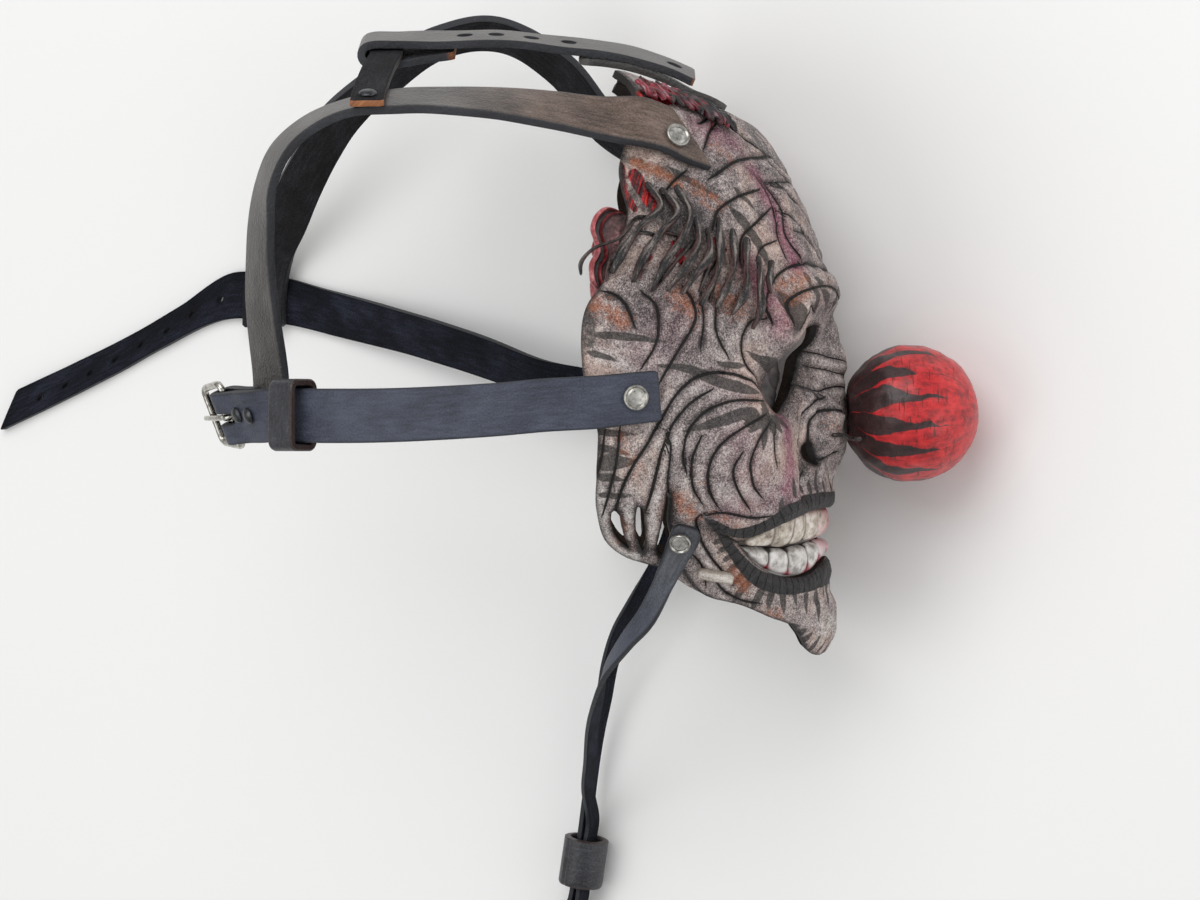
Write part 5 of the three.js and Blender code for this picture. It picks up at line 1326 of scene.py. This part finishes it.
# how a chin strap lies at its head, how it ends, and over how many points it turns
chinTurns = {"right": (np.array([-0.5, 0.76, -0.64]), tableDown, 3.5),
             "left": (np.array([-0.7, 0.4, 0.6]), -tableDown, 5)}
for side, word in sides:
    rails = []
    for (along, up), half in zip(([96.2, -26.2], [97.7, -30.7], [100, -37.6]), (4.2, 5.4, 4.8)):
        rails.append(tuple(offFace(side * (along + x * half), up + y * half, 2.9)
                           for x, y in ([-0.94, -0.33], [0.94, 0.33])))
    first, last, over = chinTurns[word]
    path = chinPaths[word]
    rails += aboutRails(path, [first + (last - first) * min(1, i / over) for i in range(len(path))], 4.5)
    makeStrap("chinStrap" + word.title(), "chin_strap_" + word, "slateLeather", layOut(rails), slateFinish,
              thick=straps["thin"], outer=-side, corner=2.2, seed=12 + side, step=1.1, bevel=0.35, wave=0.05,
              brownTo=12)
print("straps")


# mm, with the twist in radians and the unevenness as a share of the width
thongs = {"wide": 2.6, "thick": 1.5, "lift": 1.9, "browLift": 2.8, "twist": 0.62, "uneven": 0.24}
templeThongs = [                                         # right temple, from the ear to the brow
    [[107, 96], [103, 88], [111, 80], [117, 71], [121, 63]],
    [[102, 94], [97, 86], [104, 78], [110, 70], [114, 60]],
    [[96, 95], [92, 86], [97, 76], [103, 68], [108, 57]], [[90, 84], [91, 75], [97, 65], [103, 57]],
    [[86, 80], [87, 71], [93, 63], [98, 56]], [[80, 84], [82, 74], [85, 64], [91, 52]],
    [[75, 80], [77, 71], [80, 62], [85, 51]], [[70, 77], [73, 67], [73, 58], [79, 49]],
    [[68, 70], [68, 61], [67, 52], [71, 44]], [[62, 69], [63.5, 62], [63, 57]]]
strands = {                                              # thin strands split off some of them
    0: [[107.5, 84], [112, 83], [118, 76], [126.5, 72], [130.5, 67], [130.5, 62.5]],
    1: [[105, 77], [111, 78], [117.5, 73], [121.5, 66], [122.5, 60.5]],
    2: [[97.5, 77], [102.5, 78], [108, 73], [112, 67.5], [114.5, 60]],
    3: [[91.5, 76.5], [98, 69.5], [103, 63], [108, 56.5]], 4: [[88.5, 70], [88.5, 64.5], [91, 57]],
    5: [[82, 75], [81, 70], [83.5, 66], [87, 53]], 7: [[73, 68], [71, 62], [73.5, 55.5], [77.5, 51]]}


def thongRails(side, points, wide, lift, twist=0.0, uneven=0.0, seed=0, turns=7):
    path = curve(points, 5)
    t = np.linspace(0, 1, len(path))
    wide = wide * (1 + uneven * np.sin(9 * t + seed))
    wide = wide * np.interp(t, (0, 0.12, 0.8, 1), (0.7, 1, 1, 1 - 2.2 * uneven))
    way = unit(np.gradient(path, axis=0))
    across = np.stack([-way[:, 1], way[:, 0]], axis=-1) * wide[:, None] / 2
    roll = twist * np.sin(turns * t + 1.7 * seed)
    rails = []
    for (along, up), (x, y), turned, broad in zip(path, across, roll, wide):
        tilt = math.sin(turned) * broad / 2
        near = math.cos(turned)
        rails.append((offFace(side * (along - x * near), up - y * near, lift - tilt),
                      offFace(side * (along + x * near), up + y * near, lift + tilt)))
    return rails


def makeThong(name, node, slot, rails, finish, seed, strand=None, **more):
    # a thong, with a thin strand split off it where there is one
    plan = {"corner": 0.7, "seed": seed, "step": 0.65, "bevel": 0.4, "wave": 0.12, "crown": 0.2, **more}
    mesh = strapMesh(name, layOut(rails, 3), plan)
    if strand:
        thin = {**plan, "thick": 0.9, "bevel": 0.25, "crown": 0.05}
        mesh = rework(mesh, strapMesh(name + "Strand", layOut(strand, 3), thin))
    keep(name, mesh, [node], [finish] * 3, smooth=45)


def makeTempleThong(word, side, number, i, seed, twistSeed, strand=None):
    lift = thongs["lift"] if i < 8 else thongs["browLift"]
    rails = thongRails(side, templeThongs[i], thongs["wide"], lift, thongs["twist"], thongs["uneven"],
                       twistSeed)
    if strand:
        strand = thongRails(side, strand, 1.3, lift - 1.2, 0.8, 0.2, i)
    makeThong(f"templeThong{word.title()}{number}", f"temple_thong_{word}_{number}", "darkThong", rails,
              "brushedDarkThong", seed, strand, thick=thongs["thick"])


for i in range(len(templeThongs)):
    makeTempleThong("right", 1, i + 1, i, 20 + i, i, strands.get(i))
    if i % 2 == 0:
        makeTempleThong("left", -1, i // 2 + 1, i, 40 + i, i + 3)
stitchTop = [[84, 134], [76, 134], [67, 133], [58, 129], [50, 124]]
stitchFoot = [[90, 128], [81, 126.5], [73, 124], [64, 120], [52, 116]]
hairline = [walk(stitchFoot if i % 2 else stitchTop, np.array([i / 20]))[0] for i in range(21)]
jawThong = [[91.5, -43.6], [86, -45.2], [79, -47]]
for side, word in sides:
    makeThong("hairlineThong" + word.title(), "hairline_thong_" + word, "darkThong",
              thongRails(side, hairline, 2.0, 2.6, 1.0, 0.2, 1, 40), "torn", 60,
              thick=1.3, wave=0.55, curl=6, fresh=0.7, step=0.5)
    makeThong("jawThong" + word.title(), "jaw_thong_" + word, "paleThong",
              thongRails(side, jawThong, 3.4, 2.0), "paintedPaleThong", 61, thick=1.6)
ball = {"centre": np.array([117.8, 13.9, 0.0]), "radius": 26, "wall": 3, "mouth": 10.5}
ballHole = unit(np.array([-18.3, -8.8, 14.8]))
tie = [offFace(24, 5.5, 1.6), offFace(19, 5.5, 1.9), offFace(15, 5.2, 2.8),
       ball["centre"] + ballHole * 28, ball["centre"] + ballHole * 27]
for side, word in sides:
    rails = aboutRails([point * [1, 1, side] for point in tie], [[0, 1, 0]] * 5, 0.8)
    makeThong("noseThong" + word.title(), "nose_thong_" + word, "darkThong", rails, "brushedDarkThong", 62,
              thick=1.1, bevel=0.25)
print("thongs")


def makeBall():
    profile = []
    for radius, parts, way in ((ball["radius"], 64, -1), (ball["radius"] - ball["wall"], 40, 1)):
        lip = math.asin(ball["mouth"] / radius)
        arc = np.linspace(lip, math.pi, parts)[::way]
        profile += [(-math.cos(a) * radius, math.sin(a) * radius, 0) for a in arc]
    bm = spun(profile, (1, 0, 0), 128)
    wrap = bm.loops.layers.uv.new("flat")
    for f in bm.faces:
        middle = f.calc_center_median()
        home = math.atan2(middle.z, middle.y)
        for loop in f.loops:
            co = loop.vert.co
            turnAt = math.atan2(co.z, co.y) if math.hypot(co.y, co.z) > 1e-3 else home
            turnAt += 2 * math.pi * round((home - turnAt) / (2 * math.pi))
            fromNose = math.acos(max(-1, min(1, -co.x / co.length))) / math.pi
            loop[wrap].uv = (turnAt / (2 * math.pi) + 0.5, fromNose)
    mesh = settle(bm, "noseBall")
    co = coordsOf(mesh)
    size = np.linalg.norm(co, axis=1, keepdims=True)
    way = co / size
    bumps = 0.22 * ripple(way * 25, 12, 30) + 0.1 * ripple(way * 25, 4, 31)
    isOuter = size > ball["radius"] - 1
    setFloats(mesh, far=np.arccos(np.clip(-way[:, 0], -1, 1)) / math.pi)
    putDown(mesh, ball["centre"] + way * (size + np.where(isOuter, bumps[:, None], 0)))
    keep("noseBall", mesh, ["nose_ball"], ["ball"], smooth=50)


makeBall()
print("nose ball")


def roundedRing(halfWide, low, high, corner, t):
    # point and outward way of a rounded rectangle, t from 0 to 1 round it
    angle = np.linspace(0, math.pi / 2, 8)
    points, ways = [], []
    for k, (cx, cy) in enumerate(((halfWide - corner, high - corner), (corner - halfWide, high - corner),
                                  (corner - halfWide, low + corner), (halfWide - corner, low + corner))):
        turned = np.stack([np.cos(angle + k * math.pi / 2), np.sin(angle + k * math.pi / 2)], axis=-1)
        points.append(turned * corner + (cx, cy))
        ways.append(turned)
    points, ways = closed(np.vstack(points)), closed(np.vstack(ways))
    lengths = lengthsOf(points)
    spot, way = (readOff(rows, lengths, t * lengths[-1]) for rows in (points, ways))
    return spot, unit(way)


def makeLoop(name, node, columns, ring, shape, mapSize):
    mesh = loft(name, columns, ring, shape)
    for loop in mesh.uv_layers["flat"].data:             # the look's pattern in real metres
        loop.uv = (loop.uv[0] * mapSize[0], loop.uv[1] * mapSize[1])
    keep(name, mesh, [node], ["waxedLoopGrain"], smooth=40)


keeper = {"at": np.array([-111.5, 12.8, 47.2]), "wide": 6.0, "half": straps["half"] + 2.2, "inner": -3.9,
          "outer": 7.5, "wall": 1.3}


def keeperShape(t, s):
    upward = np.array([0.0, 1.0, 0.0])
    outward = np.cross(upward, unit(np.array([-0.753, 0, -0.659])))
    spot, way = roundedRing(keeper["half"], keeper["inner"], keeper["outer"], 2.4, t)
    across, thick = roundedRing(keeper["wide"], -keeper["wall"], keeper["wall"], 0.55, s)[0].T
    across = across + 0.25 * ripple(np.stack([t * 80, 0 * t], axis=-1), 30, 15)
    flat = spot + way * thick[:, None]
    worn = flat[:, :1] * upward + flat[:, 1:] * outward + across[:, None] * np.cross(upward, outward)
    return keeper["at"] + worn, {"edge": np.maximum(0, keeper["wide"] - np.abs(across)), "raw": 0 * t}


def slideShape(t, s):
    length = np.linalg.norm(slideEnd - slideStart)
    axis = unit(slideEnd - slideStart)
    angle = 2 * math.pi * t
    along, thick = roundedRing(length / 2, -slide["wall"], slide["wall"], 0.5, s)[0].T
    step = 0.45 * np.clip(1 - np.abs(angle - 2.0) / 0.12, 0, 1)      # the lapped end of the rolled strip
    radius = slide["bore"] + slide["wall"] + thick - step * (thick > 0)
    worn = (along[:, None] * axis + (np.cos(angle) * radius)[:, None] * slideSide
            + (np.sin(angle) * radius)[:, None] * np.cross(axis, slideSide))
    edge = np.maximum(0, length / 2 - np.abs(along))
    return (slideStart + slideEnd) / 2 + worn, {"edge": edge, "raw": 0 * t}


def frameShape(t, s):
    spot, way = roundedRing(buckle["half"], 0, buckle["reach"], buckle["corner"], t)
    narrow = 1 - (1 - buckle["endHalf"] / buckle["half"]) * spot[:, 1] / buckle["reach"]
    aside, off = buckle["wire"] * np.cos(2 * math.pi * s), buckle["wire"] * np.sin(2 * math.pi * s)
    return atBuckle(spot[:, 1] + way[:, 1] * aside, off, spot[:, 0] * narrow + way[:, 0] * aside), {}


prongEye = buckle["wire"] + 0.4 + buckle["prong"]
prongLie = buckle["wire"] + buckle["prong"] + straps["gap"]
prongCourse = curve([[prongEye - 0.2, 0.9], [prongEye + 1.2, 2.1], [7.5, prongLie - 0.1],
                     [buckle["reach"], prongLie], [buckle["reach"] + 2.4, prongLie - 0.1]], 8)


def prongRing(t, s):
    turnAt, angle = 2 * math.pi * t, 2 * math.pi * s
    reach = prongEye + buckle["prong"] * np.cos(angle)
    aside = buckle["prong"] * 1.15 * np.sin(angle)
    return atBuckle(reach * np.cos(turnAt), reach * np.sin(turnAt), aside), {}


def prongBar(t, s):
    lengths = lengthsOf(prongCourse)
    onward = readOff(unit(np.gradient(prongCourse, axis=0)), lengths, t * lengths[-1])
    tip = np.sqrt(np.clip(1 - np.clip((t - 0.93) / 0.07, 0, 1) ** 2, 0, 1)) * np.clip(t / 0.01, 0, 1)
    radius = buckle["prong"] * (1 - 0.25 * t) * tip
    aside, off = radius * np.cos(2 * math.pi * s), radius * np.sin(2 * math.pi * s)
    spot = walk(prongCourse, t)
    return atBuckle(spot[:, 0] - onward[:, 1] * aside, spot[:, 1] + onward[:, 0] * aside, off * 1.1), {}


makeLoop("strapKeeper", "strap_keeper", 110, 32, keeperShape, (0.07, 0.03))
makeLoop("chinSlide", "chin_slide", 90, 36, slideShape, (0.05, 0.045))
prong = rework(loft("buckleProng", 60, 14, prongRing), loft("prongBar", 80, 14, prongBar))
keep("buckleFrame", loft("buckleFrame", 160, 16, frameShape), ["buckle_frame"], ["polishedNickel"],
     "buckle_frame", smooth=60)
keep("buckleProng", prong, ["buckle_prong"], ["polishedNickel"], "buckle_prong", smooth=60)


# pressed caps, share of the radius and height: a flat middle in a rolled ring, and a plain dome
caps = {
    "tumbledNickelCap": [(0, 1.3), (0.45, 1.28), (0.6, 1.16), (0.7, 0.9), (0.75, 0.84), (0.8, 1.05),
                         (0.86, 1.38), (0.92, 1.42), (0.98, 1.1), (1.0, 0.6), (0.99, 0.05), (0.9, 0), (0, 0)],
    "blackenedSteelCap": [(0, 1.5), (0.3, 1.45), (0.55, 1.28), (0.75, 1.0), (0.9, 0.62), (0.98, 0.3),
                          (0.99, 0.05), (0.9, 0), (0, 0)]}


def makeRivet(name, node, finish, base, facing, radius):
    mesh = settle(spun([(r * radius, 0, h) for r, h in caps[finish]], (0, 0, 1), 40), name)
    pose = np.array(Vector(facing).to_track_quat("Z", "Y").to_matrix())
    putDown(mesh, coordsOf(mesh) @ pose.T + base)
    keep(name, mesh, [node], [finish], smooth=30)


strapTop = onFace + straps["leather"] / 2 + straps["gap"]
faceRivets = (("cheek", 114, 19, strapTop, 4.6), ("temple", 91.3, 112, strapTop, 4.6),
              ("jaw", 97.7, -30.9, 4.85 + straps["gap"], 4.0))
for side, word in sides:
    for place, along, up, under, radius in faceRivets:
        makeRivet(f"{place}Rivet{word.title()}", f"rivet_{place}_{word}", "tumbledNickelCap",
                  offFace(side * along, up, under), faceNormal(side * along, up), radius)
foldTop = layerHalf + straps["leather"] / 2 + straps["gap"] + 0.1
linkTop = unit(np.array([0, 0.93, 0.37]))
linkAt = np.array([-84.5, 128.2, 58.2]) + linkTop * 1.75
for name, node, base, facing, radius in (
        ("foldRivet1", "rivet_fold_1", atBuckle(-14.4, foldTop, 1.5), buckleOut, 3.2),
        ("foldRivet2", "rivet_fold_2", atBuckle(-24, foldTop, 1), buckleOut, 3.2),
        ("linkRivet", "rivet_link", linkAt, linkTop, 3.4),
        ("bandRivetLeft", "rivet_band_left", onTable(-142, 60, 7.6 + straps["gap"]), -tableDown, 3.4)):
    makeRivet(name, node, "blackenedSteelCap", base, facing, radius)
print("keeper, slide, buckle and rivets")

# White seamless studio paper: flat and matt, so the eye sees only the soft shadow on it
floorMesh = settle(flatGrid(1, 1, 4), "floor")
paper = {"Base Color": "#fafaf9", "Roughness": 0.9}
floorMesh.materials.append(newMaterial("mattWhitePaper", lambda add: paper))
floor = bpy.data.objects.new("floor", floorMesh)
scene.collection.objects.link(floor)
